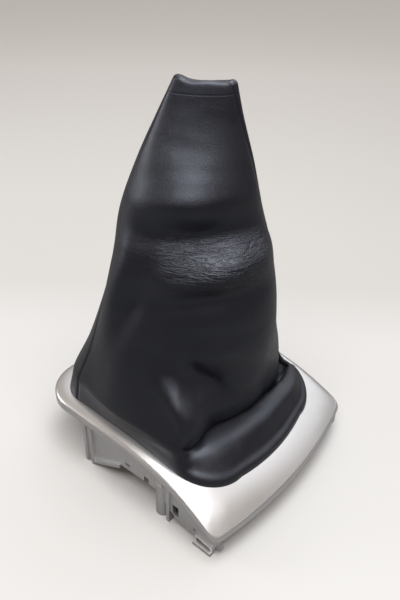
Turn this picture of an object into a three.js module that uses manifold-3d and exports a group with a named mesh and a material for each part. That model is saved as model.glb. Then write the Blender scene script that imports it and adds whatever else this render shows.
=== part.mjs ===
// Gear lever gaiter: a sewn leather boot held in a silver painted console bezel.
// Millimetres, X across the car, front apron towards -Y, +Z up, the feet stand on z = 0.
import * as THREE from 'three';
import * as BufferGeometryUtils from 'three/addons/utils/BufferGeometryUtils.js';
import Module from 'manifold-3d';

const wasm = await Module();
wasm.setup();

// Bezel outline, seen from above
const BEZEL_WIDTH = 150;
const BEZEL_REAR_Y = 89.8;
const TIP_Y = -73.1;
const TIP_FLARE = 2.2;
const FRONT_BOW = 10;
const FLARE_START_Y = -10.6;
const TIP_ROUND = 6;
const TIP_X = BEZEL_WIDTH / 2 + TIP_FLARE;

// Bezel heights above the surface that it stands on
const REAR_EDGE_Z = 43.4;
const TIP_Z = 18.6;
const DROP_START_Y = 19.7;
const DROP_POWER = 2.3;
const OPENING_Z = 45.4;
const OPENING_DROP_SHARE = 0.8;

// Opening for the leather, and the widths of the rim around it
const SIDE_RIM = 9;
const REAR_RIM = 12.8;
const APRON = 12.1;
const OPENING_REAR_RADIUS = 20;
const OPENING_FRONT_RADIUS = 31;
const OPENING_BOW = 3.8;
const OPENING_WIDTH = BEZEL_WIDTH - 2 * SIDE_RIM;
const OPENING_REAR_Y = BEZEL_REAR_Y - REAR_RIM;
const OPENING_FRONT_Y = TIP_Y + APRON;
const BEZEL_REAR_RADIUS = OPENING_REAR_RADIUS + SIDE_RIM;

// Bezel section
const SKIN = 2.4;
const EDGE_ROUND = 1.1;
const REAR_EDGE_DEPTH = 5.5;
const TIP_EDGE_DEPTH = 1.8;
const EDGE_THINS_FROM_Y = 45;
const EDGE_THINS_TO_Y = -15;
const LIP_WIDTH = 1.7;
const GROOVE_WIDTH = 0.5;
const GROOVE_DEPTH = 0.45;
const FLANGE_DEPTH = 5;
const FLANGE_WALL = 1.8;
const ROUND_SHARE = 0.7;
const EDGE_FALL = 0.35;
const LEAST_GROOVE = 0.02;
const CROWN_SHARES = [0.2, 0.38, 0.55, 0.7, 0.84];
const CROWN_SIDE = 0.7;
const CROWN_FRONT = 1.6;
const SKIRT_INSET = 2.9;
const SKIRT_WALL = 1.7;
const SKIRT_DEPTH = 9.5;

// Feet, webs and lugs under the two long sides
const FOOT_INSET = 1;
const FOOT_FACE_X = BEZEL_WIDTH / 2 - FOOT_INSET;
const REAR_FOOT_Y = 41;
const REAR_FOOT_LENGTH = 8;
const REAR_FOOT_DEPTH = 7;
const RIB_WALL = 2.4;
const WEB_FRONT_Y = 10;
const WEB_FOOT_Z = 3;
const WEB_FRONT_Z = 19;
const WALL_LAP = 0.3;
const WEB_BAR = 2.6;
const WEB_RISE = 2;
const FOOT_LAP = 1;
const RIB_REACH = 2;
const STEM_SHARE = 0.6;
const STEM_SETBACK = 0.6;
const FRONT_FOOT_Y = -25;
const FRONT_FOOT_RADIUS = 4.6;
const COLUMN_SIDES = 20;
const FRONT_RIB_Y = -33;
const CHEEK_REAR_Y = -35;
const CHEEK_FRONT_Y = TIP_Y + 5.1;
const CHEEK_BOTTOM_Z = 5;
const CHEEK_WALL = 2;
const CHEEK_SLOPE = 1;
const CHEEK_WINDOW_LENGTH = 5;
const CHEEK_WINDOW_HEIGHT = 9;
const LUG_LENGTH = 14;
const LUG_HEIGHT = 2.6;
const LUG_WIDTH = 4;
const LUG_SLOT = 1.4;
const LUG_OVERHANG = 1.5;
const HOOK_Y = 4;
const NOTCH_Y = -13;
const NOTCH_SIZE = 4;
const PIN_HOLE = 1.8;
const TIP_STUD = 4;
const STUD_INSET = 1;
const STUD_LAP = 2;

// Inner frame that carries the leather
const CLEARANCE = 0.3;
const FRAME_HEIGHT = 2.4;
const FRAME_INNER = 3.2;
const FRAME_OUTER = 2.1;

// Leather
const LEATHER = 1.2;
const SEAM_GAP = 0.3;
const SEAM_ALLOWANCE = 6;
const UNDER_FLAP = 5;

// Staples
const STAPLE_WIRE = 0.6;
const STAPLE_CROWN = 6.5;
const STAPLE_BITE = 1.6;
const STAPLE_SLOT = 0.2;

// Leather boot, foot to rim
const BOOT_TOP_Z = 256;
const HEM = 8;
const RIM_DIP = 2.5;
const FLANGE_CLEARANCE = 0.5;
const BASE_CENTRE_Y = 6;
const PINCH_ANGLE = -51.6;
const RIGHT_SEAM_BASE = -28.6;
const RIGHT_SEAM_TOP = -66;
const LEFT_SEAM_BASE = -217.7;
const LEFT_SEAM_TOP = -231;

// Horizontal ovals of the boot: reach to each side along the pinch, nearest and farthest reach
// across it, how square the oval is, and how far the opening's own outline still shows
const LEVELS = [
  { z: 62, left: -89, right: 52, near: 62, far: -74, power: 2.4, oval: 0.3, shrink: 0.95 },
  { z: 85, left: -74, right: 49.5, near: 50, far: -62, power: 2.3, oval: 0.6, shrink: 0.88 },
  { z: 110, left: -67, right: 46.5, near: 44, far: -52, power: 2.2, oval: 0.85, shrink: 0.8 },
  { z: 135, left: -60.4, right: 43.6, near: 40, far: -44, power: 2.2, oval: 0.97, shrink: 0.7 },
  { z: 160, left: -55, right: 38, near: 36, far: -38, power: 2.2, oval: 1, shrink: 0.6 },
  { z: 185, left: -50.5, right: 30.5, near: 29, far: -31, power: 2.2, oval: 1, shrink: 0.5 },
  { z: 215, left: -39.5, right: 23, near: 19, far: -20, power: 2.2, oval: 1, shrink: 0.4 },
  { z: 240, left: -28, right: 15.5, near: 10, far: -10, power: 2.2, oval: 1, shrink: 0.3 },
  { z: BOOT_TOP_Z, left: -20, right: 11.6, near: 6, far: -6, power: 2.2, oval: 1, shrink: 0.3 },
];

// Soft pouch along the front edge of the opening: the angles over which it starts and ends, its
// shoulders above the opening, and its upper edge by angle, with the crease behind that edge
const POUCH_RIGHT = [28.8, 32];
const POUCH_LEFT = [140, 147];
const SHOULDERS = [
  { inset: 1.2, lift: 3.2, share: 0.2 },
  { inset: 5, lift: 5.8, share: 0.4 },
];
const POUCH_TOP = { share: 0.52, rise: 0.92 };
const RIDGE = [
  { angle: -146, reach: 68, z: 45 },
  { angle: -142, reach: 60.4, z: 49 },
  { angle: -133.8, reach: 50.5, z: 51 },
  { angle: -118.7, reach: 46.2, z: 50.4 },
  { angle: -100, reach: 45.4, z: 50 },
  { angle: -85, reach: 47.1, z: 50 },
  { angle: -70, reach: 50.1, z: 50 },
  { angle: -55, reach: 57.7, z: 49.4 },
  { angle: -44, reach: 65.1, z: 47 },
  { angle: -36, reach: 70.5, z: 44.4 },
  { angle: -30.5, reach: 76.3, z: 41.4 },
];
const LEAST_POUCH = 0.8;
const RIDGE_ROUND = 3;
const RIDGE_ROUND_SHARE = 0.2;
const RIDGE_FALL = 0.4;
const CREASE_BEHIND = 2.6;
const CREASE_BELOW = 5.5;
const BODY_SETBACK = 1;

// How far the boot reaches to the right along the pinch, by height
const RIGHT_LIMIT = [
  { z: 40, across: 54.5 },
  { z: 60, across: 55 },
  { z: 72, across: 53.5 },
  { z: 101, across: 48.5 },
  { z: 128, across: 44.7 },
  { z: 147, across: 41.8 },
  { z: 170, across: 60 },
];
const LIMIT_SOFTNESS = 2;
const LIMIT_START = 7;

// Folds of the front: where each sits along the pinch, its half sizes, its lean and its push
const FOLD_START_Z = 50;
const FOLD_FADE = 15;
const SEAM_FADE_STATIONS = 2;
const FOLDS = [
  { across: -14, z: 200, wide: 27, high: 15, lean: 0, push: 6 },
  { across: -4, z: 160, wide: 30, high: 11, lean: 8, push: 5.5 },
  { across: 6, z: 143, wide: 24, high: 9, lean: 0, push: -2 },
  { across: 2, z: 131, wide: 20, high: 8, lean: 4, push: 2.2 },
  { across: 4, z: 111, wide: 13, high: 7, lean: 0, push: 4 },
  { across: 8, z: 98, wide: 16, high: 7, lean: 0, push: -3 },
  { across: -55, z: 140, wide: 6, high: 34, lean: -16, push: 3.2 },
  { across: -18, z: 62, wide: 14, high: 9, lean: 0, push: 2.5 },
];

// Leather's turned foot, from the face of the opening's flange downwards
const TURN_FACE = -FLANGE_DEPTH - CLEARANCE;
const TURN_BACK = TURN_FACE - LEATHER;
const FRAME_TOP = TURN_BACK - CLEARANCE;
const FRAME_BOTTOM = FRAME_TOP - FRAME_HEIGHT;
const FLAP_BACK = FRAME_BOTTOM - CLEARANCE;
const FLAP_FACE = FLAP_BACK - LEATHER;
const WRAP_BACK = FRAME_OUTER + CLEARANCE;
const WRAP_FACE = WRAP_BACK + LEATHER;
const WRAP_END = WRAP_BACK - UNDER_FLAP;
const LEATHER_FOOT_DEPTH = -FLAP_FACE;
const FOOT_ROWS = 4;
const STAPLE_LEG = STAPLE_WIRE + 2 * CLEARANCE + LEATHER + STAPLE_BITE;
const STAPLE_ROOM = 1.7;
const SKIRT_INNER_X = BEZEL_WIDTH / 2 - SKIRT_INSET - SKIRT_WALL;

// How finely the surfaces are divided: steps of the rear, its corner, side, front corner and front
const BEZEL_STEPS = [4, 10, 20, 12, 8];
const LEATHER_STEPS = [3, 4, 8, 9, 7];
const ROWS_PER_LEVEL = 2;
const ALLOWANCE_START_ROW = 5;
const JOINT_TOLERANCE = 1e-5;

const FULL_TURN = 360;
const lerp = THREE.MathUtils.lerp;
const smooth = THREE.MathUtils.smoothstep;
const radians = THREE.MathUtils.degToRad;

// Closed solids from rows of section points
function geometryFrom(points, triangles) {
  const geometry = new THREE.BufferGeometry();
  const numbers = points.flatMap((p) => [p.x, p.y, p.z]);
  geometry.setAttribute('position', new THREE.Float32BufferAttribute(numbers, 3));
  geometry.setIndex(triangles);
  return geometry;
}

function signedVolume(points, triangles) {
  let six = 0;
  for (let i = 0; i < triangles.length; i += 3) {
    const [a, b, c] = [0, 1, 2].map((k) => points[triangles[i + k]]);
    six += a.dot(new THREE.Vector3().crossVectors(b, c));
  }
  return six / 6;
}

// Each section is a ring of points. An open sweep is closed by a strip across each end section,
// which pairs the first point with the last, the second with the last but one, and so on.
function sweep(sections, closed) {
  const size = sections[0].length;
  const points = sections.flat();
  const triangles = [];
  const count = sections.length;
  const spans = closed ? count : count - 1;
  for (let s = 0; s < spans; s += 1) {
    const here = s * size;
    const next = ((s + 1) % count) * size;
    for (let i = 0; i < size; i += 1) {
      const j = (i + 1) % size;
      triangles.push(here + i, next + i, next + j, here + i, next + j, here + j);
    }
  }
  if (!closed) {
    const last = (count - 1) * size;
    for (let i = 0; i < size / 2 - 1; i += 1) {
      const [a, b, c, d] = [i, i + 1, size - 2 - i, size - 1 - i];
      triangles.push(a, b, c, a, c, d);
      triangles.push(last + a, last + c, last + b, last + a, last + d, last + c);
    }
  }
  if (signedVolume(points, triangles) < 0) {
    for (let i = 0; i < triangles.length; i += 3) {
      [triangles[i], triangles[i + 1]] = [triangles[i + 1], triangles[i]];
    }
  }
  return geometryFrom(points, triangles);
}

function toSolid(geometry) {
  const bare = geometry.clone();
  bare.deleteAttribute('normal');
  bare.deleteAttribute('uv');
  const merged = BufferGeometryUtils.mergeVertices(bare, JOINT_TOLERANCE);
  return new wasm.Manifold(new wasm.Mesh({
    numProp: 3,
    vertProperties: new Float32Array(merged.attributes.position.array),
    triVerts: new Uint32Array(merged.index.array),
  }));
}

function toGeometry(solid) {
  const mesh = solid.getMesh();
  const geometry = new THREE.BufferGeometry();
  geometry.setAttribute('position', new THREE.BufferAttribute(new Float32Array(mesh.vertProperties), 3));
  geometry.setIndex(new THREE.BufferAttribute(new Uint32Array(mesh.triVerts), 1));
  return geometry;
}

function block(x0, x1, y0, y1, z0, z1) {
  const box = new THREE.BoxGeometry(x1 - x0, y1 - y0, z1 - z0);
  box.translate((x0 + x1) / 2, (y0 + y1) / 2, (z0 + z1) / 2);
  return toSolid(box);
}

// A plate whose outline lies in the YZ plane, from x = inner to x = outer
function sidePlate(outline, inner, outer) {
  const shape = new THREE.Shape(outline.map(([y, z]) => new THREE.Vector2(y, z)));
  const plate = new THREE.ExtrudeGeometry(shape, { depth: outer - inner, bevelEnabled: false });
  const turn = new THREE.Matrix4().makeBasis(
    new THREE.Vector3(0, 1, 0), new THREE.Vector3(0, 0, 1), new THREE.Vector3(1, 0, 0));
  plate.applyMatrix4(turn);
  plate.translate(inner, 0, 0);
  return toSolid(plate);
}

function mirrorX(solid) {
  return solid.mirror([1, 0, 0]);
}

// Bezel heights
const HALF_WIDTH = BEZEL_WIDTH / 2;
const OPENING_HALF = OPENING_WIDTH / 2;

function drop(y) {
  const share = Math.max(0, (DROP_START_Y - y) / (DROP_START_Y - TIP_Y));
  return (REAR_EDGE_Z - TIP_Z) * Math.min(share, 1) ** DROP_POWER;
}

// The rim's outer edge is deep and rounded at the rear and thin, with a grooved lip, at the front
const edgeThin = (y) => smooth(-y, -EDGE_THINS_FROM_Y, -EDGE_THINS_TO_Y);
const edgeDepth = (y) => lerp(REAR_EDGE_DEPTH, TIP_EDGE_DEPTH, edgeThin(y));
const edgeZ = (y) => REAR_EDGE_Z - drop(y);
const openingZ = (y) => OPENING_Z - OPENING_DROP_SHARE * drop(y);

function edgeX(y) {
  const share = Math.max(0, (FLARE_START_Y - y) / (FLARE_START_Y - TIP_Y));
  return HALF_WIDTH + (TIP_X - HALF_WIDTH) * share * share;
}

// Half outlines from the middle of the rear to the middle of the front, on the +X side
function arc(cx, cy, radius, from, to, steps) {
  const points = [];
  for (let i = 1; i <= steps; i += 1) {
    const a = radians(lerp(from, to, i / steps));
    points.push([cx + radius * Math.cos(a), cy + radius * Math.sin(a)]);
  }
  return points;
}

function openingHalf([rearSteps, rearCornerSteps, sideSteps, frontCornerSteps, frontSteps]) {
  const rear = OPENING_REAR_RADIUS;
  const front = OPENING_FRONT_RADIUS;
  const points = [[0, OPENING_REAR_Y]];
  for (let i = 1; i <= rearSteps; i += 1) {
    points.push([(OPENING_HALF - rear) * (i / rearSteps), OPENING_REAR_Y]);
  }
  points.push(...arc(OPENING_HALF - rear, OPENING_REAR_Y - rear, rear, 90, 0, rearCornerSteps));
  const [top, bottom] = [OPENING_REAR_Y - rear, OPENING_FRONT_Y + front];
  for (let i = 1; i <= sideSteps; i += 1) {
    points.push([OPENING_HALF, lerp(top, bottom, i / sideSteps)]);
  }
  points.push(...arc(OPENING_HALF - front, bottom, front, 0, -90, frontCornerSteps));
  for (let i = 1; i <= frontSteps; i += 1) {
    const share = 1 - i / frontSteps;
    const x = (OPENING_HALF - front) * share;
    points.push([x, OPENING_FRONT_Y - OPENING_BOW * (1 - share * share)]);
  }
  return points;
}

function outlineHalf([rearSteps, rearCornerSteps, sideSteps, frontCornerSteps, frontSteps]) {
  const rear = BEZEL_REAR_RADIUS;
  const points = [[0, BEZEL_REAR_Y]];
  for (let i = 1; i <= rearSteps; i += 1) {
    points.push([(HALF_WIDTH - rear) * (i / rearSteps), BEZEL_REAR_Y]);
  }
  points.push(...arc(HALF_WIDTH - rear, BEZEL_REAR_Y - rear, rear, 90, 0, rearCornerSteps));
  const bottom = OPENING_FRONT_Y + OPENING_FRONT_RADIUS;
  for (let i = 1; i <= sideSteps; i += 1) {
    const y = lerp(BEZEL_REAR_Y - rear, bottom, i / sideSteps);
    points.push([edgeX(y), y]);
  }
  const third = frontCornerSteps / 3;
  const innerEnd = (OPENING_HALF - OPENING_FRONT_RADIUS) * (TIP_X / OPENING_HALF);
  const frontY = (x) => TIP_Y - FRONT_BOW * (1 - (x / TIP_X) ** 2);
  const turnStart = TIP_Y + TIP_ROUND;
  const turnEnd = TIP_X - TIP_ROUND;
  for (let i = 1; i <= third; i += 1) {
    const y = lerp(bottom, turnStart, i / third);
    points.push([edgeX(y), y]);
  }
  const tip = new THREE.QuadraticBezierCurve(
    new THREE.Vector2(edgeX(turnStart), turnStart), new THREE.Vector2(TIP_X, TIP_Y),
    new THREE.Vector2(turnEnd, frontY(turnEnd)));
  for (let i = 1; i <= third; i += 1) {
    points.push(tip.getPoint(i / third).toArray());
  }
  for (let i = 1; i <= third; i += 1) {
    const x = lerp(turnEnd, innerEnd, i / third);
    points.push([x, frontY(x)]);
  }
  for (let i = 1; i <= frontSteps; i += 1) {
    const x = innerEnd * (1 - i / frontSteps);
    points.push([x, frontY(x)]);
  }
  return points;
}

// The whole loop, from the middle of the rear over +X to the front and back over -X
function wholeLoop(half) {
  const back = half.slice(1, -1).reverse().map(([x, y]) => [-x, y]);
  return half.concat(back);
}

// Bezel ring: a moulded skin with a rolled outer edge and a flange around the opening
function bezelRing() {
  const inner = wholeLoop(openingHalf(BEZEL_STEPS));
  const outer = wholeLoop(outlineHalf(BEZEL_STEPS));
  const sections = inner.map(([ix, iy], k) => {
    const [ox, oy] = outer[k];
    const length = Math.hypot(ox - ix, oy - iy);
    const across = [(ox - ix) / length, (oy - iy) / length];
    const [innerZ, outerZ] = [openingZ(iy), edgeZ(oy)];
    const front = smooth(-iy, -DROP_START_Y, -OPENING_FRONT_Y);
    const crown = lerp(CROWN_SIDE, CROWN_FRONT, front);
    const at = (q, lift) => {
      const share = q / length;
      const z = lerp(innerZ, outerZ, share) + 4 * crown * share * (1 - share) + lift;
      return new THREE.Vector3(ix + across[0] * q, iy + across[1] * q, z);
    };
    const flangeFoot = (q) => new THREE.Vector3(
      ix + across[0] * q, iy + across[1] * q, innerZ - FLANGE_DEPTH);
    const edge = length - SKIN;
    const depth = edgeDepth(oy);
    const lip = length - LIP_WIDTH;
    const groove = Math.max(GROOVE_DEPTH * edgeThin(oy), LEAST_GROOVE);
    const crownPoints = CROWN_SHARES.map((share) => at(lip * share, 0));
    return [
      at(0, -EDGE_ROUND * ROUND_SHARE),
      at(EDGE_ROUND * ROUND_SHARE, 0),
      ...crownPoints,
      at(lip - GROOVE_WIDTH, 0),
      at(lip - GROOVE_WIDTH / 2, -groove),
      at(lip, 0),
      at(length - EDGE_ROUND / 2, -EDGE_ROUND * EDGE_FALL),
      at(length, -EDGE_ROUND),
      at(length, -depth),
      at(edge, -depth),
      at(edge, -SKIN - (depth < SKIN ? LEAST_GROOVE : 0)),
      at((FLANGE_WALL + edge) / 2, -SKIN),
      at(FLANGE_WALL, -SKIN),
      flangeFoot(FLANGE_WALL),
      flangeFoot(0),
    ];
  });
  return toSolid(sweep(sections, true));
}

// Outward direction of a loop at one of its points, seen from above
function outward(loop, k) {
  const [ax, ay] = loop[(k + loop.length - 1) % loop.length];
  const [bx, by] = loop[(k + 1) % loop.length];
  const length = Math.hypot(bx - ax, by - ay);
  return [-(by - ay) / length, (bx - ax) / length];
}

// Lower edge of the wall under the rim: down at the feet, up in a slanted web between them
function skirtBottom(y) {
  const points = [
    [REAR_FOOT_Y + REAR_FOOT_LENGTH / 2, WEB_FOOT_Z], [REAR_FOOT_Y - REAR_FOOT_LENGTH / 2, WEB_FOOT_Z],
    [WEB_FRONT_Y, WEB_FRONT_Z], [FRONT_FOOT_Y, WEB_FRONT_Z + WEB_RISE],
    [CHEEK_REAR_Y, CHEEK_BOTTOM_Z + CHEEK_SLOPE], [TIP_Y, CHEEK_BOTTOM_Z - CHEEK_SLOPE],
  ];
  const i = points.findIndex(([end], k) => k > 0 && y >= end && y <= points[k - 1][0]);
  if (i < 0) {
    return edgeZ(y) - SKIRT_DEPTH;
  }
  const [[y0, z0], [y1, z1]] = [points[i - 1], points[i]];
  return lerp(z0, z1, (y0 - y) / (y0 - y1));
}

// Wall under the rim, set in from its edge
function skirt() {
  const outer = wholeLoop(outlineHalf(BEZEL_STEPS));
  const sections = outer.map(([x, y], k) => {
    const [nx, ny] = outward(outer, k);
    const onSide = Math.abs(x) >= HALF_WIDTH - 0.01;
    const bottom = onSide ? skirtBottom(y) : edgeZ(Math.max(y, TIP_Y)) - SKIRT_DEPTH;
    const top = edgeZ(y) - SKIN / 2;
    const at = (inset, z) => new THREE.Vector3(x - nx * inset, y - ny * inset, z);
    const innerFace = SKIRT_INSET + SKIRT_WALL;
    return [at(SKIRT_INSET, top), at(SKIRT_INSET, bottom), at(innerFace, bottom), at(innerFace, top)];
  });
  return toSolid(sweep(sections, true));
}

// A foot part: full depth below the leather's turned edge, and a thinner stem up to the skin
function footPart(innerX, outerX, y0, y1) {
  const lowest = openingZ(y1) < openingZ(y0) ? openingZ(y1) : openingZ(y0);
  const shoulder = lowest - LEATHER_FOOT_DEPTH - STAPLE_ROOM;
  const stemX = SKIRT_INNER_X - WALL_LAP;
  const top = Math.min(edgeZ(y0), edgeZ(y1)) - SKIN / 2;
  const stem = block(stemX, outerX, y0, y1, shoulder - FOOT_LAP, top);
  return block(innerX, outerX, y0, y1, 0, shoulder).add(stem);
}

// Everything under one long side, built on +X and mirrored
function sideFeatures() {
  const stem = SKIRT_INNER_X - WALL_LAP;
  const footInner = FOOT_FACE_X - REAR_FOOT_DEPTH;
  const rearFront = REAR_FOOT_Y - REAR_FOOT_LENGTH / 2;
  const rearBack = REAR_FOOT_Y + REAR_FOOT_LENGTH / 2;
  let side = footPart(footInner, FOOT_FACE_X - RIB_WALL / 2, rearFront, rearBack);
  side = side.add(footPart(footInner, FOOT_FACE_X, rearFront, rearFront + RIB_WALL));
  side = side.add(footPart(footInner, FOOT_FACE_X, rearBack - RIB_WALL, rearBack));

  const bar = [
    [rearFront, WEB_FOOT_Z - WEB_BAR / 2], [rearFront, WEB_FOOT_Z + WEB_BAR / 2],
    [WEB_FRONT_Y, WEB_FRONT_Z + WEB_BAR / 2], [WEB_FRONT_Y, WEB_FRONT_Z - WEB_BAR / 2],
  ];
  side = side.add(sidePlate(bar, stem, FOOT_FACE_X));
  const columnX = FOOT_FACE_X - FRONT_FOOT_RADIUS;
  const columnTop = openingZ(FRONT_FOOT_Y - FRONT_FOOT_RADIUS) - LEATHER_FOOT_DEPTH - STAPLE_ROOM;
  const round = new THREE.Shape().absarc(columnX, FRONT_FOOT_Y, FRONT_FOOT_RADIUS, 0, 2 * Math.PI);
  const column = new THREE.ExtrudeGeometry(round, {
    depth: columnTop, bevelEnabled: false, curveSegments: COLUMN_SIDES });
  side = side.add(toSolid(column));
  const stemHalf = FRONT_FOOT_RADIUS * STEM_SHARE;
  const stemTop = edgeZ(FRONT_FOOT_Y - stemHalf) - SKIN / 2;
  side = side.add(block(stem, FOOT_FACE_X - STEM_SETBACK, FRONT_FOOT_Y - stemHalf, FRONT_FOOT_Y + stemHalf,
    columnTop - FOOT_LAP, stemTop));
  const ribInner = columnX - RIB_REACH;
  const ribHalf = RIB_WALL / 2;
  side = side.add(footPart(ribInner, FOOT_FACE_X, FRONT_RIB_Y - ribHalf, FRONT_RIB_Y + ribHalf));
  side = side.add(block(ribInner, columnX, FRONT_RIB_Y, FRONT_FOOT_Y, 0, columnTop - FOOT_LAP));

  const cheekInner = FOOT_FACE_X - CHEEK_WALL;
  const lugFront = CHEEK_FRONT_Y - LUG_OVERHANG;
  const lugRear = lugFront + LUG_LENGTH;
  side = side.add(block(cheekInner, cheekInner + LUG_WIDTH, lugFront, lugRear, 0, LUG_HEIGHT));
  for (const y of [lugFront, lugRear - LUG_SLOT]) {
    side = side.add(block(cheekInner, FOOT_FACE_X, y, y + LUG_SLOT,
      LUG_HEIGHT / 2, CHEEK_BOTTOM_Z + LUG_SLOT));
  }
  side = side.add(block(cheekInner, FOOT_FACE_X, lugFront, CHEEK_FRONT_Y + STUD_INSET, CHEEK_BOTTOM_Z,
    CHEEK_BOTTOM_Z + TIP_STUD));
  side = side.add(block(cheekInner - TIP_STUD, cheekInner - STUD_INSET, TIP_Y - STUD_INSET,
    TIP_Y + TIP_STUD - STUD_INSET, CHEEK_BOTTOM_Z, TIP_Z - SKIRT_DEPTH + STUD_LAP));
  return side;
}

// Notch, hook hole, window and pin hole through the wall of one side
function sideCuts() {
  const [inner, outer] = [SKIRT_INNER_X - 1, TIP_X - EDGE_ROUND];
  const half = NOTCH_SIZE / 2;
  const webZ = WEB_FRONT_Z + WEB_RISE;
  const windowRear = CHEEK_REAR_Y - CHEEK_SLOPE;
  const windowFront = windowRear - CHEEK_WINDOW_LENGTH;
  const windowZ = CHEEK_BOTTOM_Z + CHEEK_WINDOW_HEIGHT / 2;
  const windowTop = windowZ + CHEEK_WINDOW_HEIGHT;
  const pinY = (windowFront + CHEEK_FRONT_Y) / 2;
  const cuts = [
    block(inner, outer, NOTCH_Y - half, NOTCH_Y + half, webZ - half, webZ + NOTCH_SIZE),
    block(inner, outer, HOOK_Y - half, HOOK_Y + half, webZ + half, webZ + NOTCH_SIZE),
    block(inner, outer, windowFront, windowRear, windowZ, windowTop),
    block(inner, outer, pinY - PIN_HOLE / 2, pinY + PIN_HOLE / 2, windowZ, windowZ + PIN_HOLE),
  ];
  return cuts.reduce((all, cut) => all.add(cut));
}

// Loop of the opening with the heights of the leather's foot, as point, outward direction and height
function footLoop() {
  const loop = wholeLoop(openingHalf(LEATHER_STEPS));
  return loop.map(([x, y], k) => {
    const [nx, ny] = outward(loop, k);
    return { x, y, nx, ny, z: openingZ(y) };
  });
}

function footPoint(station, q, lift) {
  return new THREE.Vector3(station.x + station.nx * q, station.y + station.ny * q, station.z + lift);
}

// Inner frame
function innerFrame(loop) {
  const sections = loop.map((station) => [
    footPoint(station, FRAME_OUTER, FRAME_TOP),
    footPoint(station, FRAME_OUTER, FRAME_BOTTOM),
    footPoint(station, -FRAME_INNER, FRAME_BOTTOM),
    footPoint(station, -FRAME_INNER, FRAME_TOP),
  ]);
  return toSolid(sweep(sections, true));
}

// The boot's body. Angles are seen from above, in degrees, and fall from the rear over +X.
const ACROSS = new THREE.Vector2(Math.cos(radians(PINCH_ANGLE)), Math.sin(radians(PINCH_ANGLE)));
const TOWARDS = new THREE.Vector2(ACROSS.y, -ACROSS.x);

function baseAngle(station, index, count) {
  const angle = THREE.MathUtils.radToDeg(Math.atan2(station.y - BASE_CENTRE_Y, station.x));
  return index > count / 8 && angle > 90.001 ? angle - FULL_TURN : angle;
}

// Angle of a station at a height, turned with the two seams
function angleAt(base, share) {
  const right = lerp(RIGHT_SEAM_BASE, RIGHT_SEAM_TOP, share);
  const left = lerp(LEFT_SEAM_BASE, LEFT_SEAM_TOP, share);
  if (base <= RIGHT_SEAM_BASE && base >= LEFT_SEAM_BASE) {
    const t = (base - RIGHT_SEAM_BASE) / (LEFT_SEAM_BASE - RIGHT_SEAM_BASE);
    return lerp(right, left, t);
  }
  const unwrapped = base > RIGHT_SEAM_BASE ? base - FULL_TURN : base;
  const t = (unwrapped - LEFT_SEAM_BASE) / (RIGHT_SEAM_BASE - FULL_TURN - LEFT_SEAM_BASE);
  return lerp(left, right - FULL_TURN, t);
}

function levelPoint(level, base, reach) {
  const share = (level.z - LEVELS[0].z) / (BOOT_TOP_Z - LEVELS[0].z);
  const angle = radians(angleAt(base, share));
  const e = new THREE.Vector2(Math.cos(angle), Math.sin(angle));
  const [c, s] = [e.dot(ACROSS), e.dot(TOWARDS)];
  const mid = (level.right + level.left) / 2;
  const deep = (level.near + level.far) / 2;
  const halfAcross = (level.right - level.left) / 2;
  const halfDeep = (level.near - level.far) / 2;
  const power = level.power;
  const radius = (Math.abs(c / halfAcross) ** power + Math.abs(s / halfDeep) ** power) ** (-1 / power);
  const oval = new THREE.Vector2(mid * ACROSS.x + deep * TOWARDS.x, mid * ACROSS.y + deep * TOWARDS.y);
  oval.addScaledVector(e, radius);
  const baseRadians = radians(base);
  const square = new THREE.Vector2(
    reach * level.shrink * Math.cos(baseRadians),
    BASE_CENTRE_Y + reach * level.shrink * Math.sin(baseRadians));
  square.lerp(oval, level.oval);
  const dip = RIM_DIP * share ** 3 * (1 - s) / 2;
  return new THREE.Vector3(square.x, square.y, level.z - dip);
}

// Value of a table's column at a place between its rows
function between(table, key, column, place) {
  const i = table.findIndex((row) => row[key] >= place);
  if (i <= 0) {
    return table.at(i)[column];
  }
  const [a, b] = [table[i - 1], table[i]];
  return lerp(a[column], b[column], (place - a[key]) / (b[key] - a[key]));
}

// Outward push of the folds at a point of the front
function foldPush(p) {
  let push = 0;
  for (const fold of FOLDS) {
    const along = p.x * ACROSS.x + p.y * ACROSS.y - fold.across;
    const up = p.z - fold.z;
    const lean = radians(fold.lean);
    const a = (along * Math.cos(lean) + up * Math.sin(lean)) / fold.wide;
    const b = (up * Math.cos(lean) - along * Math.sin(lean)) / fold.high;
    push += fold.push * Math.exp(-a * a - b * b);
  }
  const start = smooth(p.z, FOLD_START_Z, FOLD_START_Z + FOLD_FADE);
  return push * start * smooth(-p.z, -BOOT_TOP_Z, -BOOT_TOP_Z + FOLD_FADE);
}

// Keeps a point of the boot behind its right side, above the pouch and the opening's edge
function pullIn(p, station, pouch, isBody) {
  const across = p.x * ACROSS.x + p.y * ACROSS.y;
  const limit = between(RIGHT_LIMIT, 'z', 'across', p.z);
  const over = Math.log1p(Math.exp((limit - across) / LIMIT_SOFTNESS));
  const weight = smooth(p.z - station.z, 0, LIMIT_START) * (isBody ? 1 : 1 - pouch);
  const move = (limit - LIMIT_SOFTNESS * over - across) * weight;
  return p.add(new THREE.Vector3(ACROSS.x * move, ACROSS.y * move, 0));
}

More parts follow.
